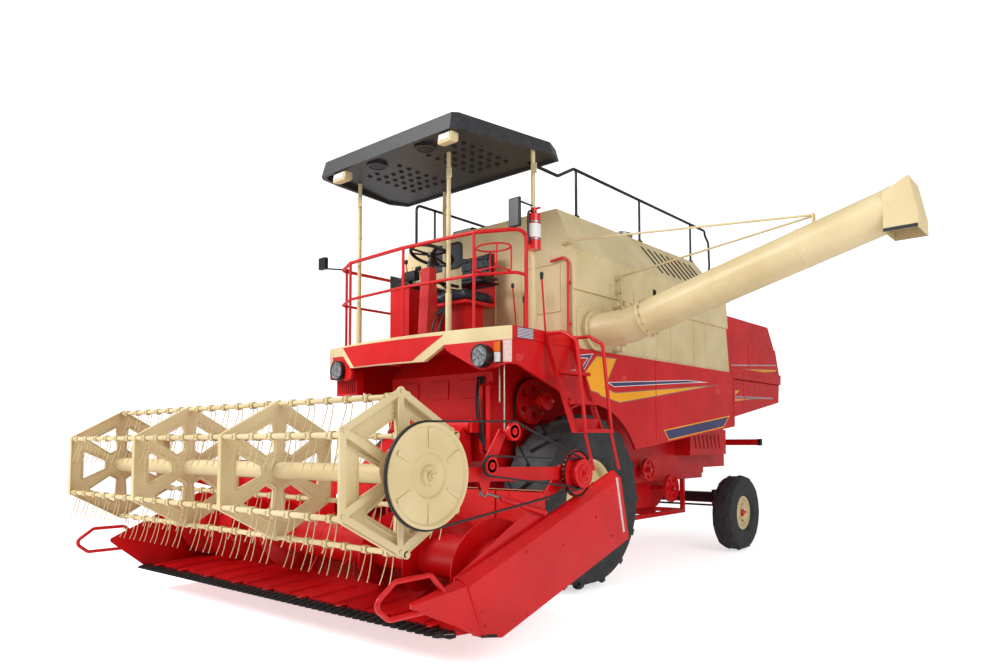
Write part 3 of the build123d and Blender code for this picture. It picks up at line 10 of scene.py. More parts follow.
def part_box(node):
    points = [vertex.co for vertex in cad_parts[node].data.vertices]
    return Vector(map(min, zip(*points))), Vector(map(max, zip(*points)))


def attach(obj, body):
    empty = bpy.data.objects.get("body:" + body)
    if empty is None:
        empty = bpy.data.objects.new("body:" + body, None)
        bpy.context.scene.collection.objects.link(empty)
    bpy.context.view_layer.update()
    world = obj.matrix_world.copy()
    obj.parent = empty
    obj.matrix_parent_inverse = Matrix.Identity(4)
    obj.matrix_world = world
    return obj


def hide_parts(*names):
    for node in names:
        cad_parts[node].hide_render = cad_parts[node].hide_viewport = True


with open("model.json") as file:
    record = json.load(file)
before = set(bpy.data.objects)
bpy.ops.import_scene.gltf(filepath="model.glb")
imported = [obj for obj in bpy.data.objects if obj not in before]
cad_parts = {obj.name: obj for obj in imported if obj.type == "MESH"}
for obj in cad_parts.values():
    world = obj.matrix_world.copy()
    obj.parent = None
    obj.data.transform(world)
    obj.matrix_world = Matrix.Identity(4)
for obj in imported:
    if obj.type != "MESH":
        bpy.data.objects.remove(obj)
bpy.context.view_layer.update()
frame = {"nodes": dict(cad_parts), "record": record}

# ------------------------------------------------------------------ places
# Machine coordinates in millimetres: x to the machine's left and y to its rear from the
# middle of the front axle, z up from the ground.  at() turns them into the row frame.

left_tyre_low, left_tyre_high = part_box("front_tyre_left")
right_tyre_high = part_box("front_tyre_right")[1]
AXLE_X = (left_tyre_low.x + right_tyre_high.x) / 2
AXLE_Y = (left_tyre_low.y + left_tyre_high.y) / 2

SIDES = ((1, "left"), (-1, "right"))


def at(x, y, z):
    """Place in the row frame, in metres, of a place on the machine."""
    return Vector((AXLE_X + x / 1000, AXLE_Y + y / 1000, z / 1000))


def ring(count, radius, first=0.0):
    """Places spread evenly on a circle, from an angle in degrees."""
    angles = [math.radians(first + 360 * i / count) for i in range(count)]
    return [(radius * math.cos(a), radius * math.sin(a)) for a in angles]


# ------------------------------------------------------------------ camera and lights

YAW = math.radians(38.89)
PITCH = math.radians(3.2)
ROLL = math.radians(0.27)
EYE = (5192.2, -5629.7, 1359.1)
SENSOR_MM, FOCAL_MM = 36.0, 26.67
SHIFT_X, SHIFT_Y = -0.0426, 0.0665


def make_camera():
    data = bpy.data.cameras.new("camera")
    camera = bpy.data.objects.new("camera", data)
    bpy.context.scene.collection.objects.link(camera)
    data.sensor_width = SENSOR_MM
    data.lens = FOCAL_MM
    data.shift_x = SHIFT_X
    data.shift_y = SHIFT_Y
    data.clip_end = 200
    look = Vector((-math.sin(YAW) * math.cos(PITCH), math.cos(YAW) * math.cos(PITCH), math.sin(PITCH)))
    level = Vector((math.cos(YAW), math.sin(YAW), 0))
    right = level * math.cos(ROLL) - level.cross(look) * math.sin(ROLL)
    pose = Matrix((right, right.cross(look), -look)).transposed().to_4x4()
    pose.translation = at(*EYE)
    camera.matrix_world = pose
    bpy.context.scene.camera = camera


def make_light(name, place, target, size, power):
    """Round soft light of a size in metres and a power in watts."""
    data = bpy.data.lights.new(name, "AREA")
    data.shape = "DISK"
    data.size = size
    data.energy = power
    lamp = bpy.data.objects.new(name, data)
    bpy.context.scene.collection.objects.link(lamp)
    lamp.location = place
    lamp.rotation_euler = (target - place).to_track_quat("-Z", "Y").to_euler()


# ------------------------------------------------------------------ materials


def linear(hex_code):
    """sRGB hex to linear RGBA."""
    values = [int(hex_code[i:i + 2], 16) / 255 for i in (1, 3, 5)]
    return tuple(v / 12.92 if v <= 0.04045 else ((v + 0.055) / 1.055) ** 2.4 for v in values) + (1.0,)


def add(tree, kind, settings=None, links=None):
    """One node of a kind, with its settings and input values, and links from other sockets."""
    node = tree.nodes.new(kind)
    for key, value in (settings or {}).items():
        if isinstance(key, str) and hasattr(node, key):
            setattr(node, key, value)
        else:
            node.inputs[key].default_value = value
    for key, socket in (links or {}).items():
        tree.links.new(socket, node.inputs[key])
    return node


def new_material(name):
    material = bpy.data.materials.new(name)
    material.use_nodes = True
    tree = material.node_tree
    tree.nodes.clear()
    return material, tree


def per_metre(size_mm):
    """Scale of a pattern whose cells are about size_mm across."""
    return 1000 / size_mm


def tones(tree, pattern, low, high, dark, light):
    """Colour that passes from dark to light while a pattern rises from low to high."""
    share = add(tree, "ShaderNodeMapRange", {"From Min": low, "From Max": high}, {"Value": pattern})
    mixed = add(tree, "ShaderNodeMix", {"data_type": "RGBA", 6: linear(dark), 7: linear(light)},
                {"Factor": share.outputs["Result"]})
    return mixed.outputs[2]


DEPTH_MM, DUST_MM, PEEL_MM = 420, 160, 9


def enamel(name, dark, light, roughness, coat):
    """Sprayed and baked enamel: slow changes of depth, settled dust and a fine orange peel."""
    material, tree = new_material(name)
    spot = add(tree, "ShaderNodeTexCoord").outputs["Object"]
    depth = add(tree, "ShaderNodeTexNoise", {"Scale": per_metre(DEPTH_MM), "Detail": 3}, {"Vector": spot})
    dust = add(tree, "ShaderNodeTexNoise", {"Scale": per_metre(DUST_MM), "Detail": 5}, {"Vector": spot})
    peel = add(tree, "ShaderNodeTexNoise", {"Scale": per_metre(PEEL_MM), "Detail": 2}, {"Vector": spot})
    dull = add(tree, "ShaderNodeMapRange",
               {"From Min": 0.35, "From Max": 0.7, "To Min": roughness - 0.05, "To Max": roughness + 0.1},
               {"Value": dust.outputs["Fac"]})
    relief = add(tree, "ShaderNodeBump", {"Strength": 0.12, "Distance": 0.0005},
                    {"Height": peel.outputs["Fac"]})
    shader = add(tree, "ShaderNodeBsdfPrincipled",
                 {"Coat Weight": coat, "Coat Roughness": 0.08, "Specular IOR Level": 0.32},
                 {"Base Color": tones(tree, depth.outputs["Fac"], 0.35, 0.68, dark, light),
                  "Roughness": dull.outputs["Result"], "Normal": relief.outputs["Normal"]})
    add(tree, "ShaderNodeOutputMaterial", links={"Surface": shader.outputs[0]})
    return material


def grained(name, dark, light, roughness, cell_mm, depth_mm, strength=0.4, metallic=0.0):
    """Grained surface: rubber, moulded plastic, cast or sawn metal."""
    material, tree = new_material(name)
    spot = add(tree, "ShaderNodeTexCoord").outputs["Object"]
    cloud = add(tree, "ShaderNodeTexNoise", {"Scale": per_metre(cell_mm * 14), "Detail": 4}, {"Vector": spot})
    grain = add(tree, "ShaderNodeTexNoise", {"Scale": per_metre(cell_mm), "Detail": 4}, {"Vector": spot})
    relief = add(tree, "ShaderNodeBump", {"Strength": strength, "Distance": depth_mm / 1000},
                 {"Height": grain.outputs["Fac"]})
    shader = add(tree, "ShaderNodeBsdfPrincipled", {"Roughness": roughness, "Metallic": metallic},
                 {"Base Color": tones(tree, cloud.outputs["Fac"], 0.35, 0.7, dark, light),
                  "Normal": relief.outputs["Normal"]})
    add(tree, "ShaderNodeOutputMaterial", links={"Surface": shader.outputs[0]})
    return material


def lens_glass(name, tint, clear, roughness, flutes_mm):
    """Pressed lamp glass: clear, with flutes that break up what is behind it."""
    material, tree = new_material(name)
    spot = add(tree, "ShaderNodeTexCoord").outputs["Object"]
    flutes = add(tree, "ShaderNodeTexWave", {"Scale": per_metre(flutes_mm) / math.tau, "Distortion": 0.0},
                 {"Vector": spot})
    relief = add(tree, "ShaderNodeBump", {"Strength": 0.35, "Distance": 0.001},
                 {"Height": flutes.outputs["Fac"]})
    shader = add(tree, "ShaderNodeBsdfPrincipled",
                 {"Base Color": linear(tint), "Roughness": roughness, "IOR": 1.5,
                  "Transmission Weight": clear},
                 {"Normal": relief.outputs["Normal"]})
    add(tree, "ShaderNodeOutputMaterial", links={"Surface": shader.outputs[0]})
    return material


def reflective_strip(name):
    """Prismatic tape: a white film with a pressed cell pattern, drawn 7 mm wide so that it shows."""
    material, tree = new_material(name)
    spot = add(tree, "ShaderNodeTexCoord").outputs["Object"]
    cells = add(tree, "ShaderNodeTexVoronoi", {"Scale": per_metre(7)}, {"Vector": spot})
    relief = add(tree, "ShaderNodeBump", {"Strength": 0.3, "Distance": 0.0005},
                 {"Height": cells.outputs["Distance"]})
    shader = add(tree, "ShaderNodeBsdfPrincipled", {"Roughness": 0.25, "Coat Weight": 0.4},
                 {"Base Color": tones(tree, cells.outputs["Distance"], 0.1, 0.6, "#E9E4E0", "#C7A6A0"),
                  "Normal": relief.outputs["Normal"]})
    add(tree, "ShaderNodeOutputMaterial", links={"Surface": shader.outputs[0]})
    return material


def split_enamel(name, low_tones, high_tones, level_mm):
    """Enamel in two colours that meet at one height."""
    material, tree = new_material(name)
    spot = add(tree, "ShaderNodeTexCoord").outputs["Object"]
    depth = add(tree, "ShaderNodeTexNoise", {"Scale": per_metre(DEPTH_MM), "Detail": 3}, {"Vector": spot})
    peel = add(tree, "ShaderNodeTexNoise", {"Scale": per_metre(PEEL_MM), "Detail": 2}, {"Vector": spot})
    relief = add(tree, "ShaderNodeBump", {"Strength": 0.12, "Distance": 0.0005},
                 {"Height": peel.outputs["Fac"]})
    parts = add(tree, "ShaderNodeSeparateXYZ", links={"Vector": spot})
    above = add(tree, "ShaderNodeMath", {"operation": "GREATER_THAN", 1: level_mm / 1000},
                {0: parts.outputs["Z"]})
    paint = add(tree, "ShaderNodeMix", {"data_type": "RGBA"},
                {"Factor": above.outputs[0],
                 6: tones(tree, depth.outputs["Fac"], 0.35, 0.68, *low_tones),
                 7: tones(tree, depth.outputs["Fac"], 0.35, 0.68, *high_tones)})
    shader = add(tree, "ShaderNodeBsdfPrincipled", {"Roughness": 0.35, "Coat Weight": 0.2},
                 {"Base Color": paint.outputs[2], "Normal": relief.outputs["Normal"]})
    add(tree, "ShaderNodeOutputMaterial", links={"Surface": shader.outputs[0]})
    return material


# Baked enamel: an even, soft shine that a fine orange peel breaks up.
RED = enamel("red_enamel_baked", "#BE0B0F", "#CE1216", 0.36, 0.06)
# The same enamel in cream, a little duller.
CREAM = enamel("cream_enamel_baked", "#CBB687", "#DAC89D", 0.42, 0.06)
# Satin black: shows only the lights' edges.
BLACK = enamel("black_enamel_satin", "#0B0B0D", "#151517", 0.4, 0.1)
# The extinguisher's gloss enamel has a wet coat and sharp highlights.
SIGNAL_RED = enamel("extinguisher_red_gloss", "#C40A06", "#D5120B", 0.2, 0.6)
# Carbon-filled tyre rubber is dull grey-black, with dust held in its pores.
RUBBER = grained("tyre_rubber_black", "#1E1F21", "#323234", 0.66, 5, 1.2)
# Wrapped belt rubber shows the weave of its cover as a fine grain.
BELT = grained("belt_rubber_wrapped", "#0E0E0F", "#1B1B1C", 0.6, 2, 0.4)
# Moulded phenolic of knobs and rims: black, smooth and half glossy.
GRIP = grained("phenolic_black_moulded", "#0A0A0B", "#161617", 0.34, 2, 0.3, 0.2)
# Extruded seal rubber: black, with a soft low shine.
SEAL = grained("seal_rubber_extruded", "#0C0C0D", "#171718", 0.55, 3, 0.4)
# Moulded ABS has a fine leather grain that breaks up its highlights.
ABS = grained("canopy_abs_moulded", "#26272A", "#343538", 0.42, 3, 0.6, 0.3)
# Cold-drawn steel: grey and bright, with soft reflections.
STEEL = grained("steel_cold_drawn", "#8E8C88", "#A8A6A1", 0.36, 4, 0.2, 0.2, 1.0)
# Zinc plate on nuts: a pale, faintly yellow metal.
ZINC = grained("bolt_zinc_plated", "#A9A594", "#C6C1AE", 0.33, 2, 0.2, 0.2, 1.0)
# Vapour-coated aluminium: almost a mirror, for gauge faces.
CHROME = grained("reflector_aluminium_vapour", "#D9DCDE", "#ECEEEF", 0.12, 9, 0.3, 0.15, 1.0)
# The headlamp bowl's colour runs from dark grey to near white in specks: painted glints and painted dark
# reflections, standing for the light its facets would scatter.
LAMP_SILVER = grained("reflector_aluminium_painted_glints", "#5E6265", "#F0F2F3", 0.16, 2.2, 0.6, 0.5, 0.85)
# Oiled chain: dark, with wet glints.
CHAIN_STEEL = grained("chain_steel_oiled", "#1C1917", "#35302B", 0.42, 3, 0.4, 0.4, 0.8)
# Forged iron keeps a rough black scale.
FORGED = grained("guard_iron_forged", "#0D0D0E", "#1E1D1C", 0.5, 4, 0.6, 0.5, 0.3)
# Coated seat cloth: navy, with an embossed grain.
VINYL = grained("seat_vinyl_navy", "#0B121D", "#141F30", 0.4, 3, 0.5, 0.5)
# Silvered mirror glass: flat and clear.
MIRROR = grained("mirror_glass_silvered", "#C4CBCF", "#D6DCDF", 0.04, 60, 0.1, 0.05, 1.0)
# Cast vinyl films lie flat and even, a little duller than the enamel under them.
YELLOW_FILM = enamel("film_vinyl_amber", "#EE9E12", "#F5AC22", 0.4, 0.1)
BLUE_FILM = enamel("film_vinyl_indigo", "#39375F", "#434270", 0.4, 0.1)
WHITE_FILM = enamel("film_vinyl_white", "#DAD6D2", "#E8E5E2", 0.4, 0.1)
GREY_FILM = enamel("film_vinyl_grey", "#77716C", "#868079", 0.4, 0.1)
PALE_RED = enamel("film_vinyl_pale_red", "#C8302A", "#D43B33", 0.42, 0.1)
# Pressed headlamp glass: what is behind it shows in broad bars.
GLASS = lens_glass("lamp_glass_pressed", "#F4F7F8", 0.96, 0.02, 14)
# Moulded acrylic lenses glow in their own colour and hide the bulb.
AMBER_LENS = lens_glass("lens_acrylic_amber", "#FF7A00", 0.35, 0.12, 8)
CLEAR_LENS = lens_glass("lens_acrylic_clear", "#F2EFE8", 0.3, 0.12, 8)
RED_LENS = lens_glass("lens_acrylic_red", "#B3080A", 0.3, 0.12, 8)
# Tinted float glass: a dark pane with a clear shine.
TINTED = lens_glass("window_glass_tinted", "#4A4F54", 0.1, 0.08, 90)
TAPE = reflective_strip("tape_prismatic_white")

RED_TONES, BLACK_TONES = ("#BC1014", "#CB171B"), ("#0B0B0D", "#151517")
# The steering column is red in its lower part, and the rear axle red up to its beam.
COLUMN_PAINT = split_enamel("column_enamel_red_black", RED_TONES, BLACK_TONES, 2990)
AXLE_PAINT = split_enamel("axle_enamel_red_black", RED_TONES, BLACK_TONES, 585)

PAINT_OF = {
    "paint_red": RED, "paint_cream": CREAM, "paint_black": BLACK, "paint_bright_red": SIGNAL_RED,
    "tyre": RUBBER, "plastic_black": ABS, "glass": GLASS, "fabric_blue": VINYL, "steel_bare": STEEL,
    "rubber": BELT,
}
OTHER_PAINT = {
    "steering_column": COLUMN_PAINT, "rear_axle": AXLE_PAINT, "header_jackshaft": RED,
    "cutter_bar": FORGED, "engine": FORGED,
}


def paint_nodes():
    """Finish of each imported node, by its slot or by its own name."""
    for subpart in frame["record"]["subparts"]:
        node = frame["nodes"][subpart["node"]]
        node.data.materials.clear()
        node.data.materials.append(OTHER_PAINT.get(subpart["node"], PAINT_OF[subpart["material_slot"]]))


# ------------------------------------------------------------------ forms
# Forms are worked out in machine millimetres, and piece() makes the object in the row frame.

WELD_MM = 0.004     # points closer than this become one
ALONG = {"x": Vector((1, 0, 0)), "y": Vector((0, 1, 0)), "z": Vector((0, 0, 1))}


def block(mesh, x0, x1, y0, y1, z0, z1):
    corners = [mesh.verts.new((x, y, z)) for x in (x0, x1) for y in (y0, y1) for z in (z0, z1)]
    for face in ((0, 1, 3, 2), (4, 6, 7, 5), (0, 4, 5, 1), (2, 3, 7, 6), (0, 2, 6, 4), (1, 5, 7, 3)):
        mesh.faces.new([corners[i] for i in face])


def slab(mesh, hand, x0, x1, y0, y1, z0, z1):
    """Block on one side of the machine, with x as a distance from its middle."""
    block(mesh, min(hand * x0, hand * x1), max(hand * x0, hand * x1), y0, y1, z0, z1)


def skin(mesh, rings, capped=True):
    """Quads between rings that have the same number of points, with both ends closed."""
    for one, two in zip(rings, rings[1:]):
        count = len(one)
        for i in range(count):
            j = (i + 1) % count
            mesh.faces.new((one[i], one[j], two[j], two[i]))
    if capped:
        mesh.faces.new(rings[0])
        mesh.faces.new(rings[-1])


def prism(mesh, outline, axis, low, high):
    """Outline drawn along an axis: it is (y, z) for x, (x, z) for y and (x, y) for z."""
    place = {"x": lambda a, b, t: (t, a, b),
             "y": lambda a, b, t: (a, t, b),
             "z": lambda a, b, t: (a, b, t)}[axis]
    skin(mesh, [[mesh.verts.new(place(a, b, t)) for a, b in outline] for t in (low, high)])


def round_section(mesh, middle, along, across, radius, sides):
    """Circle of points round a middle."""
    third = along.cross(across)
    return [mesh.verts.new(middle + across * a + third * b) for a, b in ring(sides, radius)]


def pipe(mesh, route, radius, sides=10, closed=False):
    """Round tube along a route."""
    points = [Vector(p) for p in route]
    count = len(points)
    across = None
    rings = []
    for i, point in enumerate(points):
        ahead = points[(i + 1) % count] - point if i < count - 1 or closed else point - points[i - 1]
        behind = point - points[i - 1] if i or closed else ahead
        along = (ahead.normalized() + behind.normalized()).normalized()
        across = along.orthogonal() if across is None else across
        across = (across - along * across.dot(along)).normalized()
        rings.append(round_section(mesh, point, along, across, radius, sides))
    skin(mesh, rings + rings[:1] if closed else rings, capped=not closed)


def bent(route, bend, steps=5):
    """Route of a formed steel pipe, with each corner turned into a bend."""
    points = [Vector(p) for p in route]
    out = [points[0]]
    for before, corner, after in zip(points, points[1:], points[2:]):
        one, two = (before - corner).normalized(), (after - corner).normalized()
        reach = min(bend, (before - corner).length * 0.45, (after - corner).length * 0.45)
        for i in range(steps + 1):
            s = i / steps
            out.append(corner + one * reach * (1 - s) ** 2 + two * reach * s ** 2)
    return out + [points[-1]]


def turned(mesh, centre, axis, profile, sides=32, closed=False):
    """Form turned about an axis through centre from (along, radius) points."""
    along = ALONG[axis] if isinstance(axis, str) else Vector(axis).normalized()
    across = along.orthogonal().normalized()
    rings = [round_section(mesh, Vector(centre) + along * out, along, across, radius, sides)
             for out, radius in profile]
    skin(mesh, rings + rings[:1] if closed else rings, capped=not closed)


def bolt(mesh, place, axis, size):
    """Hexagon bolt head on its washer."""
    turned(mesh, place, axis, [(-2, size * 0.95), (size * 0.14, size * 0.95), (size * 0.16, size * 0.8)], 14)
    turned(mesh, place, axis, [(0, size * 0.6), (size * 0.6, size * 0.6), (size * 0.7, size * 0.48)], 6)


def piece(name, mesh, body, slot, material, edge=35, bevel=0.0):
    """Object of a mesh in machine millimetres, riding on its body; bevel rounds its edges."""
    bmesh.ops.remove_doubles(mesh, verts=mesh.verts, dist=WELD_MM)
    bmesh.ops.dissolve_degenerate(mesh, edges=mesh.edges, dist=WELD_MM)
    bmesh.ops.recalc_face_normals(mesh, faces=mesh.faces)
    for vert in mesh.verts:
        vert.co = at(*vert.co)
    data = bpy.data.meshes.new(name)
    mesh.to_mesh(data)
    mesh.free()
    data.materials.append(material)
    data.polygons.foreach_set("use_smooth", [True] * len(data.polygons))
    data.set_sharp_from_angle(angle=math.radians(edge))
    thing = bpy.data.objects.new(name, data)
    bpy.context.scene.collection.objects.link(thing)
    if bevel:
        soften = thing.modifiers.new("edges", "BEVEL")
        soften.width = bevel / 1000
        soften.segments = 2
        soften.limit_method = "ANGLE"
        soften.angle_limit = math.radians(40)
    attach(thing, body)
    return thing


def between(value, table):
    """Value of a line of (place, value) points at a place."""
    for (a, low), (b, high) in zip(table, table[1:]):
        if b > a and value <= b:
            return low + (high - low) * (value - a) / (b - a)
    return table[-1][1]


# ------------------------------------------------------------------ wheels
# Each wheel: place of its middle, outer radius, half width, rim radius, lug height, lugs a side
# and where they start as a share of the half width; then its nuts and the cap over its hub.

WHEELBASE = 3150
WHEELS = {
    "front": {"x": 1035, "y": 0, "radius": 806, "half": 240, "rim": 392,
              "lug": 36, "lugs": 14, "start": -0.06,
              "nuts": 8, "nut_circle": 150, "first_nut": 22.5, "nut_size": 22, "nut_seat": 74,
              "cap": [(0, 62), (6, 62), (14, 52), (18, 50), (22, 30)], "cap_seat": 104, "cap_sides": 32,
              "cap_finish": ("paint_cream", CREAM)},
    "rear": {"x": 1215, "y": WHEELBASE, "radius": 463, "half": 125, "rim": 206,
             "lug": 12, "lugs": 10, "start": 0.3,
             "nuts": 5, "nut_circle": 92, "first_nut": 36, "nut_size": 15, "nut_seat": 40,
             "cap": [(0, 44), (14, 43), (24, 34), (27, 12)], "cap_seat": 74, "cap_sides": 28,
             "cap_finish": ("paint_red", RED)},
}


def tyre_outer(share, radius, shoulder, middle):
    """Radius over the lugs at a share of the half width: nearly flat, then round into the wall."""
    if share <= 0.5:
        return radius - 3 * (share / 0.5) ** 2
    if share <= 0.9:
        return radius - 3 - (radius - 3 - shoulder) * (share - 0.5) / 0.4
    return shoulder - (shoulder - middle) * ((share - 0.9) / 0.1) ** 1.6


def carcass(radius, half, rim, lug, shoulder, outer):
    """Outline of a tyre's round carcass from bead to bead, as (along, radius)."""
    wall = shoulder - rim
    bead = [(0.72, rim + 0.4), (0.8, rim + 6), (0.86, rim + 22), (0.9, rim + 24)]
    bulge = [(share, rim + wall * rise) for share, rise in (
        (0.955, 0.2), (0.985, 0.34), (0.982, 0.36), (0.998, 0.46), (1.0, 0.56), (0.985, 0.74))]
    tread = [(0.96, shoulder - lug - wall * 0.06), (0.925, shoulder - lug), (0.8, outer(0.8) - lug),
             (0.5, outer(0.5) - lug), (0.25, outer(0.25) - lug), (0, radius - lug)]
    side = [(share * half, r) for share, r in bead + bulge + tread]
    return side + [(-along, r) for along, r in reversed(side[:-1])]


def make_tyre(axle, hand, side):
    """Traction tyre: round carcass with slanted lugs from its middle out over each shoulder."""
    wheel = WHEELS[axle]
    radius, half, rim, lug, start = (wheel[key] for key in ("radius", "half", "rim", "lug", "start"))
    centre = (hand * wheel["x"], wheel["y"], radius)
    shoulder = radius * 0.955
    middle = rim + (shoulder - rim) * 0.5

    def outer(share):
        return tyre_outer(share, radius, shoulder, middle)

    mesh = bmesh.new()
    turned(mesh, centre, "x", carcass(radius, half, rim, lug, shoulder, outer), 112, closed=True)
    low_edge = [(start, -0.1), (0.35, 0.1), (1.02, 0.55)]
    high_edge = [(start, 0.08), (0.3, 0.3), (1.02, 0.74)]
    pitch = 2 * math.pi / wheel["lugs"]
    draft = lug * 0.14 / radius
    second = 0.12 if start < 0.1 else start + 0.02
    stations = [start, second, 0.35, 0.5, 0.62, 0.74, 0.84, 0.9, 0.93, 0.955, 0.975]
    for way in (1, -1):
        for i in range(wheel["lugs"]):
            turn = pitch * (i if way > 0 else i + 0.5)
            rings = []
            for share in stations:
                top = outer(abs(share))
                foot = top - lug - 8
                low, high = between(share, low_edge) * pitch, between(share, high_edge) * pitch
                points = [(foot, low - draft), (top, low + draft), (top, high - draft), (foot, high + draft)]
                rings.append([mesh.verts.new((centre[0] + way * share * half,
                                              centre[1] + r * math.sin(t - turn),
                                              centre[2] + r * math.cos(t - turn))) for r, t in points])
            skin(mesh, rings)
    node = f"{axle}_tyre_{side}"
    made = piece(f"{node}_lugged", mesh, f"{axle}_wheel_{side}", "tyre", RUBBER, 28, min(5, lug * 0.15))
    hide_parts(node)


def dress_hub(axle, hand, side):
    """Wheel nuts on their circle and the cap over the bearing."""
    wheel = WHEELS[axle]
    out = (hand, 0, 0)
    nuts = bmesh.new()
    for dy, dz in ring(wheel["nuts"], wheel["nut_circle"], wheel["first_nut"]):
        place = (hand * (wheel["x"] + wheel["nut_seat"]), wheel["y"] + dy, wheel["radius"] + dz)
        bolt(nuts, place, out, wheel["nut_size"])
    piece(f"{axle}_wheel_nuts_{side}", nuts, f"{axle}_wheel_{side}", "paint_cream", ZINC)
    cap = bmesh.new()
    seat = (hand * (wheel["x"] + wheel["cap_seat"]), wheel["y"], wheel["radius"])
    turned(cap, seat, out, wheel["cap"], wheel["cap_sides"])
    piece(f"{axle}_hub_cap_{side}", cap, f"{axle}_wheel_{side}", *wheel["cap_finish"])


# ------------------------------------------------------------------ reel

REEL_Y, REEL_Z, REEL_R = -2795, 1171, 455
REEL_LEFT, REEL_RIGHT = -2030, 1900
FIRST_FRAME, LAST_FRAME = REEL_LEFT + 30, REEL_RIGHT - 40
BAY = (LAST_FRAME - FIRST_FRAME) / 3
BAT_R, CRANK_T, PIN_R = 17, 8, 9.6
THROW_Y, THROW_Z = -60, 25      # throw of the bats' cranks
TINE_LEN, TINE_R, TINE_COUNT = 190, 3.1, 38
COIL_R, COIL_TURNS, COIL_PITCH = 24, 2.5, 5.376
FOLD = 34                       # depth of the folded edge round a frame


def tine_pairs():
    """Middles of the tine pairs along a bat, clear of the reel's frames."""
    reach = LAST_FRAME - FIRST_FRAME - 150
    places = [FIRST_FRAME + 75 + reach * i / (TINE_COUNT - 1) for i in range(TINE_COUNT)]
    clear = [x for x in places if FOLD + 20 < (x - FIRST_FRAME) % BAY < BAY - FOLD - 20]
    return [(left + right) / 2 for left, right in zip(clear[::2], clear[1::2]) if right - left <= 150]


def spring_tine(mesh, x, y, z, hand):
    """Wire tine: two and a half turns round the bat, then a long, slightly swept wire."""
    coil = []
    for i in range(21):
        turn = COIL_TURNS * i / 20
        t = math.radians(360 * turn - 90)
        coil.append((x + hand * (4 + COIL_PITCH * turn), y + COIL_R * math.cos(t), z + COIL_R * math.sin(t)))
    wire = [(x + hand * out, y + sweep, z - drop) for out, sweep, drop in (
        (20, 20, 34), (24, 12, 75), (28, 2, 115), (32, -10, 155), (35, -24, TINE_LEN))]
    pipe(mesh, coil + wire, TINE_R, 5)


def make_bat(number, y, z):
    """Bat tube with the crank and pin that its control frame holds, its tines and their clamps."""
    body = f"reel_bat_{number}"
    tube = bmesh.new()
    turned(tube, (REEL_LEFT, y, z), "x", [(0, BAT_R), (REEL_RIGHT + 1 - REEL_LEFT, BAT_R)], 24)
    pin_y, pin_z = y + THROW_Y, z + THROW_Z
    turned(tube, (REEL_RIGHT, y, z), "x", [(0, 26), (CRANK_T - 2, 26), (CRANK_T, 24)], 28)
    turned(tube, (REEL_RIGHT, pin_y, pin_z), "x", [(0, 20), (CRANK_T - 2, 20), (CRANK_T, 18)], 28)
    web = [(y + 8, z + 18), (y - 8, z - 18), (pin_y - 6, pin_z - 16), (pin_y + 6, pin_z + 16)]
    prism(tube, web, "x", REEL_RIGHT, REEL_RIGHT + CRANK_T)
    turned(tube, (REEL_RIGHT + CRANK_T - 1, pin_y, pin_z), "x", [(0, PIN_R), (23, PIN_R)], 20)
    turned(tube, (REEL_RIGHT + CRANK_T, y, z), "x", [(0, 14), (2, 13), (4, 7)], 16)
    made = piece(f"reel_bat_tube_{number}", tube, body, "paint_cream", CREAM)
    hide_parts(body)
    wires = bmesh.new()
    clamps = bmesh.new()
    for middle in tine_pairs():
        spring_tine(wires, middle + 8, y, z, 1)
        spring_tine(wires, middle - 8, y, z, -1)
        block(clamps, middle - 11, middle + 11, y - 20, y + 20, z - 20, z + 20)
        bolt(clamps, (middle, y + 19, z), "y", 11)
    piece(f"spring_tines_{number}", wires, body, "paint_cream", CREAM)
    piece(f"tine_clamps_{number}", clamps, body, "paint_cream", CREAM, bevel=4)


def spoke_place(x, degrees, away, across):
    """Place on a reel frame, away from the reel's axis along a spoke and across it."""
    a = math.radians(degrees)
    return (x, REEL_Y + away * math.cos(a) - across * math.sin(a),
            REEL_Z + away * math.sin(a) + across * math.cos(a))


def dress_reel():
    """Raised pressings between the spokes of the four frames, their bolts, and the shaft's collars."""
    ridges = bmesh.new()
    fixings = bmesh.new()
    collars = bmesh.new()
    for number in range(4):
        x = FIRST_FRAME + BAY * number
        facing = (1, 0, 0) if number else (-1, 0, 0)
        face = x + (CRANK_T if number else 0)
        for k in range(6):
            corners = [spoke_place(x + 4, 60 * k, away, across)
                       for away, across in ((112, -44), (333, -141), (333, 141), (112, 44))]
            start = tuple((one + two) / 2 for one, two in zip(corners[0], corners[3]))
            pipe(ridges, bent([start, *corners, start], 45, 4), 11, 8)
            for across in (46, -46):
                bolt(fixings, spoke_place(face, 30 + 60 * k, REEL_R - 48, across), facing, 9)
            bolt(fixings, spoke_place(face, 60 * k, 95, 0), facing, 11)
        turned(collars, (x - 20 if number else x + 8, REEL_Y, REEL_Z), "x",
               [(0, 72), (20, 72), (20, 60), (0, 60)], 32, True)
    bolt(collars, (2113, REEL_Y, REEL_Z), "x", 22)
    for dy, dz in ring(3, 40, 20):
        bolt(collars, (2102, REEL_Y + dy, REEL_Z + dz), "x", 8)
    piece("reel_frame_pressings", ridges, "reel", "paint_cream", CREAM)
    piece("reel_frame_bolts", fixings, "reel", "paint_cream", CREAM)
    piece("reel_collars", collars, "reel", "paint_cream", CREAM)


# ------------------------------------------------------------------ films on the sides

SIDE, HOOD_SIDE = 1230, 1162

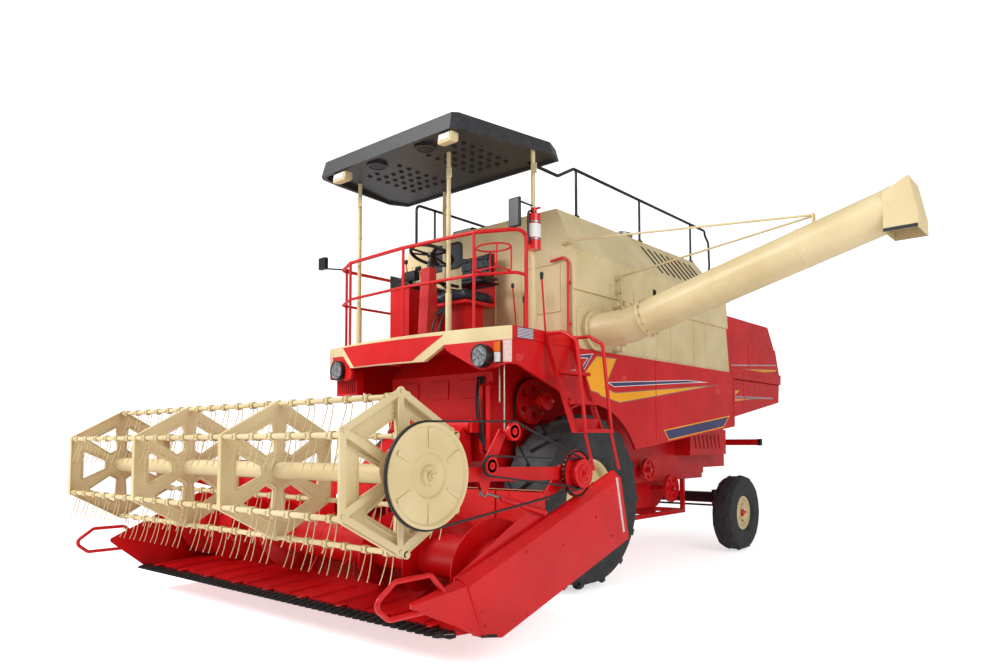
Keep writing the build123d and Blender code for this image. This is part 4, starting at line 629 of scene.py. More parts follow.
# Name, outline in (y, z), side face it lies on, film, film of its border and the border's width.
FILMS = (
    ("stripe_chevron",
     [(95, 2163), (439, 2166), (230, 1868), (409, 1831), (2709, 2036), (492, 1732), (162, 1783), (110, 1810),
      (0, 1822), (-150, 1950)], SIDE, YELLOW_FILM, GREY_FILM, 8),
    ("stripe_hook",
     [(-177, 2148), (42, 2178), (-21, 2113), (-150, 1965), (-296, 1969), (-305, 2000), (-241, 2008),
      (-226, 1986), (-188, 1989), (-57, 2124), (-195, 2116)], SIDE, BLUE_FILM, WHITE_FILM, 7),
    ("stripe_spear", [(255, 1922), (1880, 2043), (2402, 2046), (1834, 2004), (393, 1883)], SIDE,
     BLUE_FILM, WHITE_FILM, 7),
    ("lower_panel_mark", [(1340, 1475), (2980, 1668), (2800, 1520), (1446, 1362)], SIDE,
     BLUE_FILM, YELLOW_FILM, 13),
    ("side_square_front", [(-1067, 2022), (-1067, 2079), (-970, 2079), (-970, 2022)], SIDE,
     PALE_RED, None, 0),
    ("side_square_middle", [(520, 1955), (520, 2008), (618, 2008), (618, 1955)], SIDE, PALE_RED, None, 0),
    ("side_square_rear", [(2600, 1924), (2600, 1985), (2722, 1985), (2722, 1924)], SIDE, PALE_RED, None, 0),
    ("hood_line_blue", [(3205, 2310), (3205, 2324), (4700, 2436), (4710, 2424)], HOOD_SIDE,
     BLUE_FILM, WHITE_FILM, 4),
    ("hood_wedge_amber", [(3482, 2294), (4691, 2366), (4689, 2338), (4200, 2292)], HOOD_SIDE,
     YELLOW_FILM, GREY_FILM, 4),
    ("hood_wedge_small", [(3294, 2004), (3457, 2012), (3291, 1937)], HOOD_SIDE, YELLOW_FILM, GREY_FILM, 5),
    ("hood_line_low", [(3290, 1927), (4561, 1957), (4561, 1942), (3290, 1905)], HOOD_SIDE,
     BLUE_FILM, WHITE_FILM, 4),
    ("hood_line_amber", [(3289, 1892), (4021, 1919), (3288, 1862)], HOOD_SIDE, YELLOW_FILM, GREY_FILM, 4),
)


def drawn_in(outline, depth):
    """Outline with each edge moved inwards."""
    count = len(outline)
    area = sum(outline[i][0] * outline[(i + 1) % count][1] - outline[(i + 1) % count][0] * outline[i][1]
               for i in range(count))
    inward = depth if area > 0 else -depth
    lines = []
    for i in range(count):
        (ax, ay), (bx, by) = outline[i], outline[(i + 1) % count]
        dx, dy = bx - ax, by - ay
        length = math.hypot(dx, dy)
        lines.append(((ax - dy / length * inward, ay + dx / length * inward), (dx, dy)))
    out = []
    for i in range(count):
        (p, d), (q, e) = lines[i - 1], lines[i]
        cross = d[0] * e[1] - d[1] * e[0]
        if abs(cross) < 1e-6:
            out.append(q)
            continue
        s = ((q[0] - p[0]) * e[1] - (q[1] - p[1]) * e[0]) / cross
        out.append((p[0] + d[0] * s, p[1] + d[1] * s))
    return out


def lay_film(name, outline, x, film, border, rim):
    """Cut film on both sides of the machine, with a border film under it if one is given."""
    if border is None:
        layers = [(name, outline, 0.9, film)]
    else:
        layers = [(name, drawn_in(outline, rim), 1.6, film), (name + "_border", outline, 0.9, border)]
    for hand, side in SIDES:
        for title, shape, thick, finish in layers:
            mesh = bmesh.new()
            low, high = sorted((hand * (x - 0.3), hand * (x + thick)))
            prism(mesh, shape, "x", low, high)
            piece(f"{title}_{side}", mesh, "root", "paint_red", finish)


def platform_vent():
    """Slatted vent beside the platform, over a dark indigo plate: painted shade for the opening behind the
    slats.
    """
    plate = bmesh.new()
    block(plate, 1239.5, 1241, -1063, -849, 2212, 2302)
    # The dark plate is painted shade where the vent's opening lies behind the slats.
    piece("platform_vent_painted_shade_plate", plate, "root", "paint_red", BLUE_FILM)
    slats = bmesh.new()
    for i in range(7):
        z = 2217 + i * 12
        prism(slats, [(-1056, z), (-856, z + 3), (-856, z + 8), (-1056, z + 5)], "x", 1240.5, 1243)
    piece("platform_vent_slats", slats, "root", "paint_red", WHITE_FILM)


# ------------------------------------------------------------------ front sheet and its lamps

SHEET_FRONT, SHEET_ARC_R = -1270, 5200.3
HEADLAMP_X, HEADLAMP_Y, HEADLAMP_Z = 975, -1237, 2067
BOWL_R = 83
TANK_FRONT = -236
WINDOW_X, WINDOW_Z, WINDOW_BEND = -450, 3305, 59.5


def front_y(x):
    """Place of the bulged front sheet's face."""
    return SHEET_FRONT + SHEET_ARC_R - math.sqrt(SHEET_ARC_R ** 2 - x ** 2)


def front_plate(name, outline, lift, material):
    """Thin plate that follows the front sheet; its outline is convex, in x and z."""
    xs = sorted({p[0] for p in outline})
    cuts = []
    for a, b in zip(xs, xs[1:]):
        count = max(1, int((b - a) / 60))
        cuts += [a + (b - a) * i / count for i in range(count)]
    cuts.append(xs[-1])
    rings = []
    mesh = bmesh.new()
    for x in cuts:
        heights = []
        for (ax, az), (bx, bz) in zip(outline, outline[1:] + outline[:1]):
            if ax != bx and min(ax, bx) <= x <= max(ax, bx):
                heights.append(az + (bz - az) * (x - ax) / (bx - ax))
            elif ax == bx == x:
                heights += [az, bz]
        low, high = min(heights), max(heights)
        high = max(high, low + 0.5)
        y = front_y(x)
        rings.append([mesh.verts.new(p) for p in ((x, y + 0.5, low), (x, y - lift, low), (x, y - lift, high),
                                                  (x, y + 0.5, high))])
    skin(mesh, rings)
    piece(name, mesh, "root", "paint_red", material)


def dress_front_sheet():
    """Bare name place and the reflective tapes at both corners."""
    front_plate("front_name_place_bare", [(-930, 2292), (560, 2275), (186, 2076), (-706, 2085)], 2.2, RED)
    front_plate("front_corner_tape_left",
                [(1158, 2012), (1158, 2190), (1237, 2190), (1237, 2008)], 1.4, TAPE)
    front_plate("front_corner_tape_right",
                [(-1237, 2030), (-1237, 2214), (-1160, 2214), (-1160, 2030)], 1.4, TAPE)


def headlamp(hand, side):
    """Round lamp: shell, bowl with painted glints in its colour, bulb and domed glass."""
    centre = (hand * HEADLAMP_X, HEADLAMP_Y, HEADLAMP_Z)
    shell = bmesh.new()
    drum = [(2, 84), (0, 88), (0, 94), (4, 97.6), (128, 97.6), (130, 60), (110, 40), (60, 60), (16, 84)]
    turned(shell, centre, "y", drum, 48, True)
    made = piece(f"headlamp_shell_{side}", shell, "root", "glass", GRIP)
    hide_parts("lamps_and_window")
    bright = bmesh.new()
    turned(bright, centre, "y", [(3, 84), (0.5, 88), (1.5, 89), (8, 84)], 48, True)
    bowl = [(8 + 62 * (1 - (r / BOWL_R) ** 2), r) for r in (BOWL_R, 75, 66, 56, 45, 34, 24, 15, 8)]
    turned(bright, centre, "y", bowl + [(72, 1)], 48)
    # The reflector's bright and dark specks are painted glints in its colour.
    piece(f"headlamp_reflector_{side}", bright, "root", "glass", LAMP_SILVER)
    bulb = bmesh.new()
    turned(bulb, centre, "y", [(30, 4), (34, 10), (46, 11), (58, 8), (66, 8)], 20)
    piece(f"headlamp_bulb_{side}", bulb, "root", "glass", CLEAR_LENS)
    lens = bmesh.new()
    dome = [(1 + 5 * (r / BOWL_R) ** 2, r) for r in (1, 14, 28, 42, 56, 70, BOWL_R)]
    turned(lens, centre, "y", dome + [(8.5, BOWL_R), (6, 60), (4.5, 30), (4, 1)], 48)
    piece(f"headlamp_lens_{side}", lens, "root", "glass", GLASS)


def indicators(hand, side):
    """Amber lens over a clear one, on one base beside the headlamp."""
    left, right = sorted((hand * 1082, hand * 1144))
    y = front_y(1113)
    for title, low, high, finish in (("amber", 2094, 2176, AMBER_LENS), ("clear", 2010, 2092, CLEAR_LENS)):
        lens = bmesh.new()
        outline = [(left + 4, low), (right - 4, low), (right, low + 4), (right, high - 4), (right - 4, high),
                   (left + 4, high), (left, high - 4), (left, low + 4)]
        prism(lens, outline, "y", y - 20, y + 6)
        piece(f"indicator_{title}_{side}", lens, "root", "glass", finish, bevel=4)
    base = bmesh.new()
    block(base, left - 5, right + 5, y - 8, y + 8, 2004, 2181)
    piece(f"indicator_base_{side}", base, "root", "plastic_black", GRIP, bevel=3)


def tank_window():
    """Tinted pane with round corners, in a rubber seal."""
    outline = []
    for dx, dz, first in ((165, 75, 0), (-165, 75, 90), (-165, -75, 180), (165, -75, 270)):
        for i in range(7):
            a = math.radians(first + 15 * i)
            outline.append((WINDOW_X + dx + WINDOW_BEND * math.cos(a),
                            WINDOW_Z + dz + WINDOW_BEND * math.sin(a)))
    pane = bmesh.new()
    prism(pane, outline, "y", TANK_FRONT + 9, TANK_FRONT + 17)
    made = piece("tank_window_pane", pane, "root", "glass", TINTED)
    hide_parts("lamps_and_window")
    seal = bmesh.new()
    pipe(seal, [(x, TANK_FRONT, z) for x, z in outline], 9, 8, closed=True)
    piece("tank_window_seal", seal, "root", "rubber", SEAL)


# ------------------------------------------------------------------ canopy

CANOPY_FRONT, CANOPY_X, CANOPY_UNDER = -1560, 90, 3936
SPEAKER_OUT = 330
DECK = 2250         # top of the driver's platform


def work_lamps():
    """Two lamps hung under the canopy's front edge."""
    for number, (left, right) in enumerate(((800, 955), (-625, -445)), 1):
        middle = (left + right) / 2
        shell = bmesh.new()
        outline = [(-1532, 3878), (-1545, 3800), (-1535, 3786), (-1462, 3796), (-1450, 3812), (-1450, 3878)]
        prism(shell, outline, "x", left, right)
        block(shell, middle - 14, middle + 14, -1502, -1474, 3870, 3946)
        piece(f"work_lamp_shell_{number}", shell, "root", "paint_cream", CREAM, bevel=9)
        face = bmesh.new()
        prism(face, [(-1541, 3864), (-1549, 3812), (-1546, 3809), (-1538, 3864)], "x", left + 14, right - 14)
        piece(f"work_lamp_glass_{number}", face, "root", "glass", CLEAR_LENS, bevel=2)


def dress_canopy():
    """Dimples pressed in the lining and darkened as painted shade in their hollows, two speaker grilles under
    it and ribs on its top.
    """
    wells = bmesh.new()
    for hand in (-1, 1):
        for i in range(6):
            for j in range(5):
                out, y = 200 + 110 * j, CANOPY_FRONT + 390 + 110 * i
                beside_speaker = abs(out - SPEAKER_OUT) < 130 and y < CANOPY_FRONT + 400
                if not beside_speaker:
                    turned(wells, (CANOPY_X + hand * out, y, CANOPY_UNDER), "z",
                           [(6, 24), (0, 24), (-3, 21), (-1, 16), (5, 14)], 14)
    # The dimples take the darker seal rubber as painted shade in their hollows.
    piece("canopy_dimples_painted_shade", wells, "root", "plastic_black", SEAL)
    for number, x in enumerate((CANOPY_X - SPEAKER_OUT, CANOPY_X + SPEAKER_OUT), 1):
        dome = bmesh.new()
        turned(dome, (x, CANOPY_FRONT + 230, 3914), "z", [(0, 20), (1, 60), (5, 78), (14, 74)], 32)
        piece(f"canopy_speaker_{number}", dome, "root", "plastic_black", SEAL)
    ribs = bmesh.new()
    for i in range(5):
        x = CANOPY_X - 560 + 280 * i
        prism(ribs, [(-1340, 4055), (-545, 4055), (-560, 4062), (-1325, 4062)], "x", x - 22, x + 22)
    piece("canopy_top_ribs", ribs, "root", "plastic_black", ABS, bevel=5)


def dress_posts():
    """Foot plate, sleeves and clip of each canopy post."""
    brackets = bmesh.new()
    for x, y in ((-800, -1095), (470, -1095), (1120, -700), (-330, -386)):
        block(brackets, x - 45, x + 45, y - 30, y + 30, DECK, DECK + 8)
        turned(brackets, (x, y, DECK), "z", [(8, 27), (420, 27), (424, 23)], 20)
        turned(brackets, (x, y, 3380), "z", [(0, 24), (34, 24)], 20)
        for dx in (-33, 33):
            bolt(brackets, (x + dx, y, DECK + 8), "z", 10)
        block(brackets, x - 4, x + 60, y - 26, y - 20, 3700, 3790)
    piece("canopy_post_sleeves", brackets, "root", "paint_cream", CREAM, bevel=2)


# ------------------------------------------------------------------ driver's place

CLOTH_FRAMES, CLOTH_CELL_MM, CLOTH_REACH_MM = 20, 6, 24
CHANNEL_MM, CHANNEL_DEPTH_MM = 7, 8


def frozen(thing):
    """Mesh of an object with its modifiers applied."""
    graph = bpy.context.evaluated_depsgraph_get()
    return bpy.data.meshes.new_from_object(thing.evaluated_get(graph))


def settled(mesh, low, high):
    """Start form, remeshed and blown up as cloth, kept inside low..high and near its start."""
    for vert in mesh.verts:
        vert.co = at(*vert.co)
    bmesh.ops.recalc_face_normals(mesh, faces=mesh.faces)
    data = bpy.data.meshes.new("cushion_start")
    mesh.to_mesh(data)
    mesh.free()
    thing = bpy.data.objects.new("cushion_start", data)
    bpy.context.scene.collection.objects.link(thing)
    remesh = thing.modifiers.new("cells", "REMESH")
    remesh.mode = "VOXEL"
    remesh.voxel_size = CLOTH_CELL_MM / 1000
    thing.data = frozen(thing)
    thing.modifiers.clear()
    start = [vert.co.copy() for vert in thing.data.vertices]
    cloth = thing.modifiers.new("cloth", "CLOTH")
    cloth.settings.use_pressure = True
    cloth.settings.uniform_pressure_force = 4
    cloth.settings.effector_weights.gravity = 0
    cloth.point_cache.frame_start = 1
    cloth.point_cache.frame_end = CLOTH_FRAMES
    for number in range(1, CLOTH_FRAMES + 1):
        bpy.context.scene.frame_set(number)
    swollen = frozen(thing)
    thing.modifiers.clear()
    bpy.context.scene.frame_set(1)
    thing.data = swollen
    floor, ceiling = at(*low), at(*high)
    for vert, was in zip(thing.data.vertices, start):
        move = vert.co - was
        if move.length > CLOTH_REACH_MM / 1000:
            vert.co = was + move.normalized() * CLOTH_REACH_MM / 1000
        for i in range(3):
            vert.co[i] = min(max(vert.co[i], floor[i]), ceiling[i])
    divide = thing.modifiers.new("fine", "SUBSURF")
    divide.levels = divide.render_levels = 1
    made = frozen(thing)
    bpy.data.objects.remove(thing)
    return made


def cushion(name, start, low, high, channels, axis):
    """Padded cushion with sewn channels across one axis; channels are places along the others."""
    mesh = bmesh.new()
    block(mesh, *start)
    bmesh.ops.bevel(mesh, geom=mesh.edges[:], offset=24, segments=3, affect="EDGES", profile=0.5)
    data = settled(mesh, low, high)
    middle = at(*[(a + b) / 2 for a, b in zip(low, high)])
    for vert in data.vertices:
        out = vert.co[axis] - middle[axis]
        deep = 0.0
        for other, places in channels.items():
            spot = (vert.co[other] - middle[other]) * 1000
            deep = max([deep] + [math.exp(-((spot - place) / CHANNEL_MM) ** 2) for place in places])
        share = min(1.0, abs(out) * 1000 / 20)
        if abs(out) > 0.01:
            vert.co[axis] -= math.copysign(deep * CHANNEL_DEPTH_MM / 1000 * share, out)
    data.polygons.foreach_set("use_smooth", [True] * len(data.polygons))
    data.materials.clear()
    data.materials.append(VINYL)
    data.name = name
    thing = bpy.data.objects.new(name, data)
    bpy.context.scene.collection.objects.link(thing)
    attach(thing, "root")
    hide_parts("seat_cushions")


def make_seat():
    """Sewn cushion and backrest, with armrests on bent stays."""
    cushion("seat_cushion", (-72, 372, -802, -398, 2696, 2772), (-90, -820, 2690.4), (390, -380, 2790),
            {0: (-130, -45, 45, 130), 1: (-110, 0, 110)}, 2)
    cushion("backrest_cushion", (-64, 364, -430, -372, 2878, 3202), (-80, -450, 2860), (380, -365.4, 3220),
            {0: (-130, -45, 45, 130), 2: (-90, 0, 90)}, 1)
    arms = bmesh.new()
    stays = bmesh.new()
    for x in (-128, 394):
        block(arms, x, x + 34, -700, -400, 2905, 2935)
        stay_x = x + 17
        pipe(stays, bent([(stay_x, -640, 2908), (stay_x, -560, 2880), (stay_x, -372, 2880)], 30), 9, 10)
        block(stays, min(stay_x, 150), max(stay_x, 150), -372, -362, 2872, 2888)
    piece("seat_armrests", arms, "root", "plastic_black", GRIP, bevel=10)
    piece("seat_armrest_stays", stays, "root", "paint_red", BLACK)


COLUMN_WAY = Vector((0, 40, 140)).normalized()
WHEEL_HUB = Vector((60, -919, 3114))
WHEEL_R, GRIP_R = 200, 16


def steering_wheel():
    """Moulded rim and hub, three flat spokes and a spinner knob."""
    grip = bmesh.new()
    rim = [(up, WHEEL_R + out) for out, up in ring(12, GRIP_R)]
    turned(grip, WHEEL_HUB, COLUMN_WAY, rim, 56, closed=True)
    turned(grip, WHEEL_HUB, COLUMN_WAY, [(-20, 34), (-18, 39), (12, 39), (20, 32), (24, 12)], 32)
    across = Vector((1, 0, 0))
    forward = COLUMN_WAY.cross(across)
    for a, b in ring(3, 1):
        way = across * a + forward * b
        lean = COLUMN_WAY.cross(way) * 15
        ends = [[grip.verts.new(WHEEL_HUB + way * out + lean * s + COLUMN_WAY * t)
                 for s, t in ((1, 6), (1, -6), (-1, -6), (-1, 6))] for out in (30, WHEEL_R - 4)]
        skin(grip, ends, capped=False)
    piece("steering_wheel_grip", grip, "root", "plastic_black", GRIP, bevel=2)
    knob = bmesh.new()
    seat = WHEEL_HUB + across * -150 + forward * 125 + COLUMN_WAY * 14
    turned(knob, seat, COLUMN_WAY, [(0, 8), (20, 8), (24, 20), (44, 24), (56, 18), (60, 6)], 20)
    piece("steering_wheel_knob", knob, "root", "plastic_black", GRIP)


def make_console():
    """Hood over the levers' console with its gauges, and the instrument pod on the column."""
    hood = bmesh.new()
    prism(hood, [(-566, 2850), (-274, 2850), (-274, 2905), (-342, 2933), (-566, 3015)], "y", -905, -415)
    piece("console_hood", hood, "root", "plastic_black", GRIP, bevel=12)
    gauges = bmesh.new()
    for i in range(3):
        turned(gauges, (-435 + i * 70, -640, 2972 - i * 26), (0.36, 0, 0.93),
               [(-6, 29), (6, 29), (8, 26), (4, 25), (4, 1)], 28)
    piece("console_gauges", gauges, "root", "glass", CHROME)
    pod = bmesh.new()
    prism(pod, [(-868, 2925), (-790, 2940), (-800, 3030), (-852, 3034), (-872, 3000)], "x", -437, -244)
    piece("instrument_pod", pod, "root", "plastic_black", GRIP, bevel=8)


def make_levers():
    """Console levers, gear levers beside the seat and the tall brake lever, each with its knob."""
    sticks = bmesh.new()
    knobs = bmesh.new()
    for x, y, top in ((-520, -700, 3180), (-470, -600, 3120), (-520, -520, 3150), (-340, -560, 3020)):
        pipe(sticks, bent([(x, y, 2940), (x, y - 12, 3040), (x + 6, y - 40, top - 30)], 40), 6, 8)
        turned(knobs, (x + 6, y - 40, top - 34), "z", [(0, 9), (8, 15), (28, 20), (44, 16), (52, 5)], 18)
    for i, x in enumerate((700, 860, 1010)):
        turned(knobs, (x, -330 - i * 60, 2694 + i * 80), "z",
               [(-26, 10), (-20, 14), (8, 16), (28, 19), (40, 14), (46, 4)], 18)
    pipe(sticks, bent([(592, -330, DECK + 5), (592, -330, 2527), (569, -345, 2830)], 60), 8, 8)
    turned(knobs, (569, -346, 2826), "z", [(0, 12), (6, 16), (30, 17), (44, 13), (48, 4)], 18)
    piece("lever_sticks", sticks, "root", "paint_red", RED)
    piece("lever_knobs", knobs, "root", "plastic_black", GRIP)


def pedals_and_mat():
    """Two hung pedals with rubber pads, over a ribbed mat."""
    arms = bmesh.new()
    pads = bmesh.new()
    for x in (200, 290):
        pipe(arms, bent([(x + 20, -1080, DECK + 2), (x + 20, -1050, 2420), (x + 20, -975, 2548)], 60), 9, 8)
        prism(pads, [(-990, 2540), (-984, 2528), (-925, 2588), (-932, 2600)], "x", x - 20, x + 62)
    piece("pedal_arms", arms, "root", "paint_red", BLACK)
    piece("pedal_pads", pads, "root", "plastic_black", SEAL, bevel=3)
    mat = bmesh.new()
    block(mat, -260, 640, -1090, -860, DECK, DECK + 6)
    for i in range(14):
        block(mat, -250 + 64 * i, -226 + 64 * i, -1080, -870, DECK + 6, DECK + 9)
    piece("platform_mat", mat, "root", "rubber", SEAL)


def dress_mirrors():
    """Silvered glass of both mirrors and the left one's moulded shell."""
    for side, corners in (("left", (1050, 1150, -910.5, -907.5, 3200, 3430)),
                          ("right", (-1392, -1298, -1120.5, -1117.5, 3158, 3262))):
        glass = bmesh.new()
        block(glass, *corners)
        piece(f"mirror_glass_{side}", glass, "root", "glass", MIRROR)
    shell = bmesh.new()
    block(shell, 1036, 1164, -938, -912, 3186, 3444)
    piece("mirror_shell_left", shell, "root", "paint_black", GRIP, bevel=12)


FLASK_X, FLASK_Y, FLASK_R = 1174.7, -757.4, 60


def dress_extinguisher():
    """Steel straps, a blank label, and the horn on its bent hose."""
    straps = bmesh.new()
    for z in (3090, 3240):
        turned(straps, (FLASK_X, FLASK_Y, z), "z",
               [(0, FLASK_R + 2), (16, FLASK_R + 2), (16, FLASK_R + 0.2), (0, FLASK_R + 0.2)], 36, True)
    piece("extinguisher_straps", straps, "root", "steel_bare", STEEL)
    label = bmesh.new()
    turned(label, (FLASK_X, FLASK_Y, 3112), "z",
           [(0, FLASK_R + 0.9), (118, FLASK_R + 0.9), (118, FLASK_R - 0.5), (0, FLASK_R - 0.5)], 40, True)
    piece("extinguisher_label_blank", label, "root", "paint_cream", WHITE_FILM)
    horn = bmesh.new()
    horn_y = FLASK_Y - 78
    hose = [(FLASK_X, FLASK_Y - 20, 3350), (FLASK_X, horn_y, 3330), (FLASK_X, horn_y, 3120)]
    pipe(horn, bent(hose, 40), 9, 10)
    turned(horn, (FLASK_X, horn_y, 3060), "z", [(0, 20), (60, 11), (70, 9)], 18)
    turned(horn, (FLASK_X, FLASK_Y, 3318), "z", [(0, 40), (10, 36), (20, 27)], 24)
    piece("extinguisher_horn", horn, "root", "plastic_black", GRIP)


def ring_holder():
    """Oval hoop on two bent legs at the platform's front corner."""
    holder = bmesh.new()
    pipe(holder, [(1015 + 165 * a, -1100 + 120 * b, 2990) for a, b in ring(24, 1)], 8, 8, closed=True)
    for x in (895, 1135):
        pipe(holder, bent([(x, -1190, 2990), (x, -1190, 2790), (x, -1010, 2790), (x, -1010, 2990)], 30), 7, 8)
    pipe(holder, [(895, -1190, 2792), (1135, -1190, 2792)], 7, 8)
    piece("ring_holder", holder, "root", "paint_red", RED)


# ------------------------------------------------------------------ grain tank and engine cover

TANK_TOP = 3535
TANK_FACE, TANK_SKIRT = 1230, 1203      # upper and lower faces of the tank's sides
RIM_Z = 3088                            # bolted rim where the tank's slopes start
SLOPE_FOOT = 3110
SLOPE = 214 / (TANK_TOP - SLOPE_FOOT)   # how far the slopes lean in for each millimetre up
UNLOADER_Y, UNLOADER_Z = 60, 2398


def dress_tank(hand, side):
    """Hinge straps, bolts, seams and a latch on one side of the tank and cover."""
    out = (hand, 0, 0)
    straps = bmesh.new()
    for y in (330, 530, 760):
        slab(straps, hand, TANK_FACE - 1, TANK_FACE + 7, y, y + 60, 2766, 2880)
    piece(f"panel_hinge_straps_{side}", straps, "root", "paint_cream", CREAM, bevel=2)
    bolts = bmesh.new()
    for y in (*range(-200, 981, 118), *range(1060, 2860, 150)):
        bolt(bolts, (hand * (TANK_FACE + 1), y, RIM_Z), out, 9)
    for y in range(1060, 2860, 150):
        bolt(bolts, (hand * (TANK_SKIRT + 2), y, 2236), out, 9)
    for y in (345, 375, 545, 575, 775, 805):
        for z in (2790, 2856):
            bolt(bolts, (hand * (TANK_FACE + 7), y, z), out, 7)
    piece(f"tank_side_bolts_{side}", bolts, "root", "paint_cream", CREAM)
    seams = bmesh.new()
    slab(seams, hand, TANK_FACE - 2, TANK_FACE + 2.5, 984, 1012, 2760, 3108)
    slab(seams, hand, TANK_SKIRT - 1, TANK_SKIRT + 3.5, 984, 1012, 2212, 2748)
    slab(seams, hand, TANK_FACE - 2, TANK_FACE + 2, 1840, 1856, 2770, 3000)
    for y in (1260, 1560, 2100, 2400):
        slab(seams, hand, TANK_SKIRT - 1, TANK_SKIRT + 7, y, y + 26, 2230, 2740)
    piece(f"tank_side_seams_{side}", seams, "root", "paint_cream", CREAM, bevel=2)
    latch = bmesh.new()
    slab(latch, hand, TANK_FACE - 1, TANK_FACE + 6, 1150, 1210, 2850, 2960)
    pipe(latch, [(hand * 1240, 1180, 2940), (hand * 1246, 1180, 2900), (hand * 1240, 1180, 2858)], 7, 8)
    piece(f"cover_latch_{side}", latch, "root", "paint_black", BLACK, bevel=2)


def unloader_flange():
    """Bolted plate and flange where the unloading tube's elbow leaves the tank."""
    flange = bmesh.new()
    outline = [(-120, 2212), (350, 2212), (350, 2600), (250, 2660), (-60, 2660), (-190, 2560), (-190, 2260)]
    prism(flange, outline, "x", TANK_SKIRT, TANK_SKIRT + 6)
    for y, z in drawn_in(outline, 24):
        bolt(flange, (TANK_SKIRT + 6, y, z), "x", 11)
    for dy, dz in ring(12, 173, 15):
        bolt(flange, (1266.5, UNLOADER_Y + dy, UNLOADER_Z + dz), "x", 12)
    piece("unloader_flange_plate", flange, "root", "paint_cream", CREAM)
    boxes = bmesh.new()
    block(boxes, TANK_FACE + 1, TANK_FACE + 32, 560, 640, 2700, 2745)
    block(boxes, TANK_SKIRT + 1, TANK_SKIRT + 37, 620, 760, 2420, 2560)
    piece("tank_side_box", boxes, "root", "paint_cream", CREAM, bevel=6)


def tank_front():
    """Pressed ribs and frames, bolts, a bent guard pipe and the lamp over the window."""
    front = bmesh.new()
    for x in (573, 240, -120, -760, -1000):
        top = 3060 if abs(x) < 600 else 3290
        block(front, x - 12, x + 12, TANK_FRONT - 7, TANK_FRONT + 2, 2330, top)
    for x0, x1, z0, z1 in ((640, 1060, 2560, 3010), (-640, -300, 2480, 2950)):
        corners = ((x0, z0), (x1, z0), (x1, z1), (x0, z1))
        pipe(front, [(x, TANK_FRONT, z) for x, z in corners], 6, 8, closed=True)
    for x in range(-1140, 1200, 190):
        bolt(front, (x, TANK_FRONT, RIM_Z + 10), (0, -1, 0), 9)
    piece("tank_front_ribs", front, "root", "paint_cream", CREAM)
    guard = bmesh.new()
    guard_y = TANK_FRONT - 26
    route = [(x, guard_y, z) for x, z in ((968, 3036), (1124, 3052), (1168, 2995), (1168, DECK + 8))]
    pipe(guard, bent(route, 60), 13, 10)
    for z in (2420, 2800):
        block(guard, 1150, 1186, guard_y, TANK_FRONT, z, z + 20)
    piece("tank_front_pipe", guard, "root", "paint_red", RED)
    lamp = bmesh.new()
    foot = TANK_TOP + 1
    outline = [(-210, foot), (-210, foot + 24), (-190, foot + 46), (-120, foot + 46), (-110, foot)]
    prism(lamp, outline, "x", -400, -110)
    piece("tank_top_lamp", lamp, "root", "plastic_black", GRIP, bevel=8)
    glass = bmesh.new()
    block(glass, -388, -122, -213, -209, foot + 5, foot + 24)
    piece("tank_top_lamp_glass", glass, "root", "glass", CLEAR_LENS)


def tank_top():
    """Air intake with its steel lid, and the exhaust stack."""
    intake = (620, 1500, TANK_TOP)
    lid = bmesh.new()
    turned(lid, intake, "z",
           [(151, 122), (160, 122), (166, 128), (196, 128), (204, 118), (214, 90), (220, 40)], 48)
    turned(lid, intake, "z", [(218, 24), (232, 24), (240, 14)], 20)
    piece("air_intake_lid", lid, "root", "steel_bare", STEEL)
    stem = bmesh.new()
    turned(stem, intake, "z", [(0, 64), (14, 64), (14, 40), (100, 40), (112, 52), (114, 36)], 32)
    piece("air_intake_stem", stem, "root", "paint_black", BLACK)
    stack = bmesh.new()
    turned(stack, (-560, 1750, TANK_TOP), "z",
           [(0, 90), (12, 90), (14, 62), (150, 62), (152, 52), (130, 48)], 36)
    piece("exhaust_pipe", stack, "root", "paint_black", BLACK)


def dress_guard_rail(hand, side):
    """Bent rear end of a top rail down to the engine cover, and the posts' bolted feet."""
    x = hand * 1001
    low_x = hand * 960
    end = bmesh.new()
    route = [(x, 2775, 4000), (x, 2830, 4000), (low_x, 2930, 3960), (low_x, 3020, 3900), (low_x, 3040, 3560),
             (hand * 985, 2760, 3275)]
    pipe(end, bent(route, 60), 14, 12)
    turned(end, (hand * 985, 2760, 3262), (0, 0.68, 0.73), [(0, 38), (8, 38), (10, 20)], 20)
    piece(f"guard_rail_hoop_{side}", end, "root", "paint_black", BLACK)
    feet = bmesh.new()
    for y in (100, 1269, 2450):
        turned(feet, (x, y, TANK_TOP), "z", [(0, 34), (7, 34), (9, 17), (26, 17), (27, 14)], 20)
        for dy in (-24, 24):
            bolt(feet, (x, y + dy, TANK_TOP + 7), "z", 7)
    piece(f"guard_rail_feet_{side}", feet, "root", "paint_black", BLACK)


def cover_slots():
    """Black rings round the slanted cooling slots of the engine cover, on both slopes: painted shade at the
    slots' edges.
    """
    shade_rings = bmesh.new()
    # A black ring laid round each slot is painted shade at its edges.
    for i in range(9):
        y = 1200 + i * 135
        for hand in (-1, 1):
            edge = [(hand * (TANK_FACE + 0.5 - (z - SLOPE_FOOT) * SLOPE), y + dy, z)
                    for dy, z in ((2, 3458), (30, 3458), (248, 3192), (220, 3192))]
            pipe(shade_rings, edge, 5, 6, closed=True)
    piece("cover_slot_painted_shade_rings", shade_rings, "root", "paint_black", BLACK)


# ------------------------------------------------------------------ hood and side panels

ARCH_R = 905        # wheel arch, round the front wheel's axis


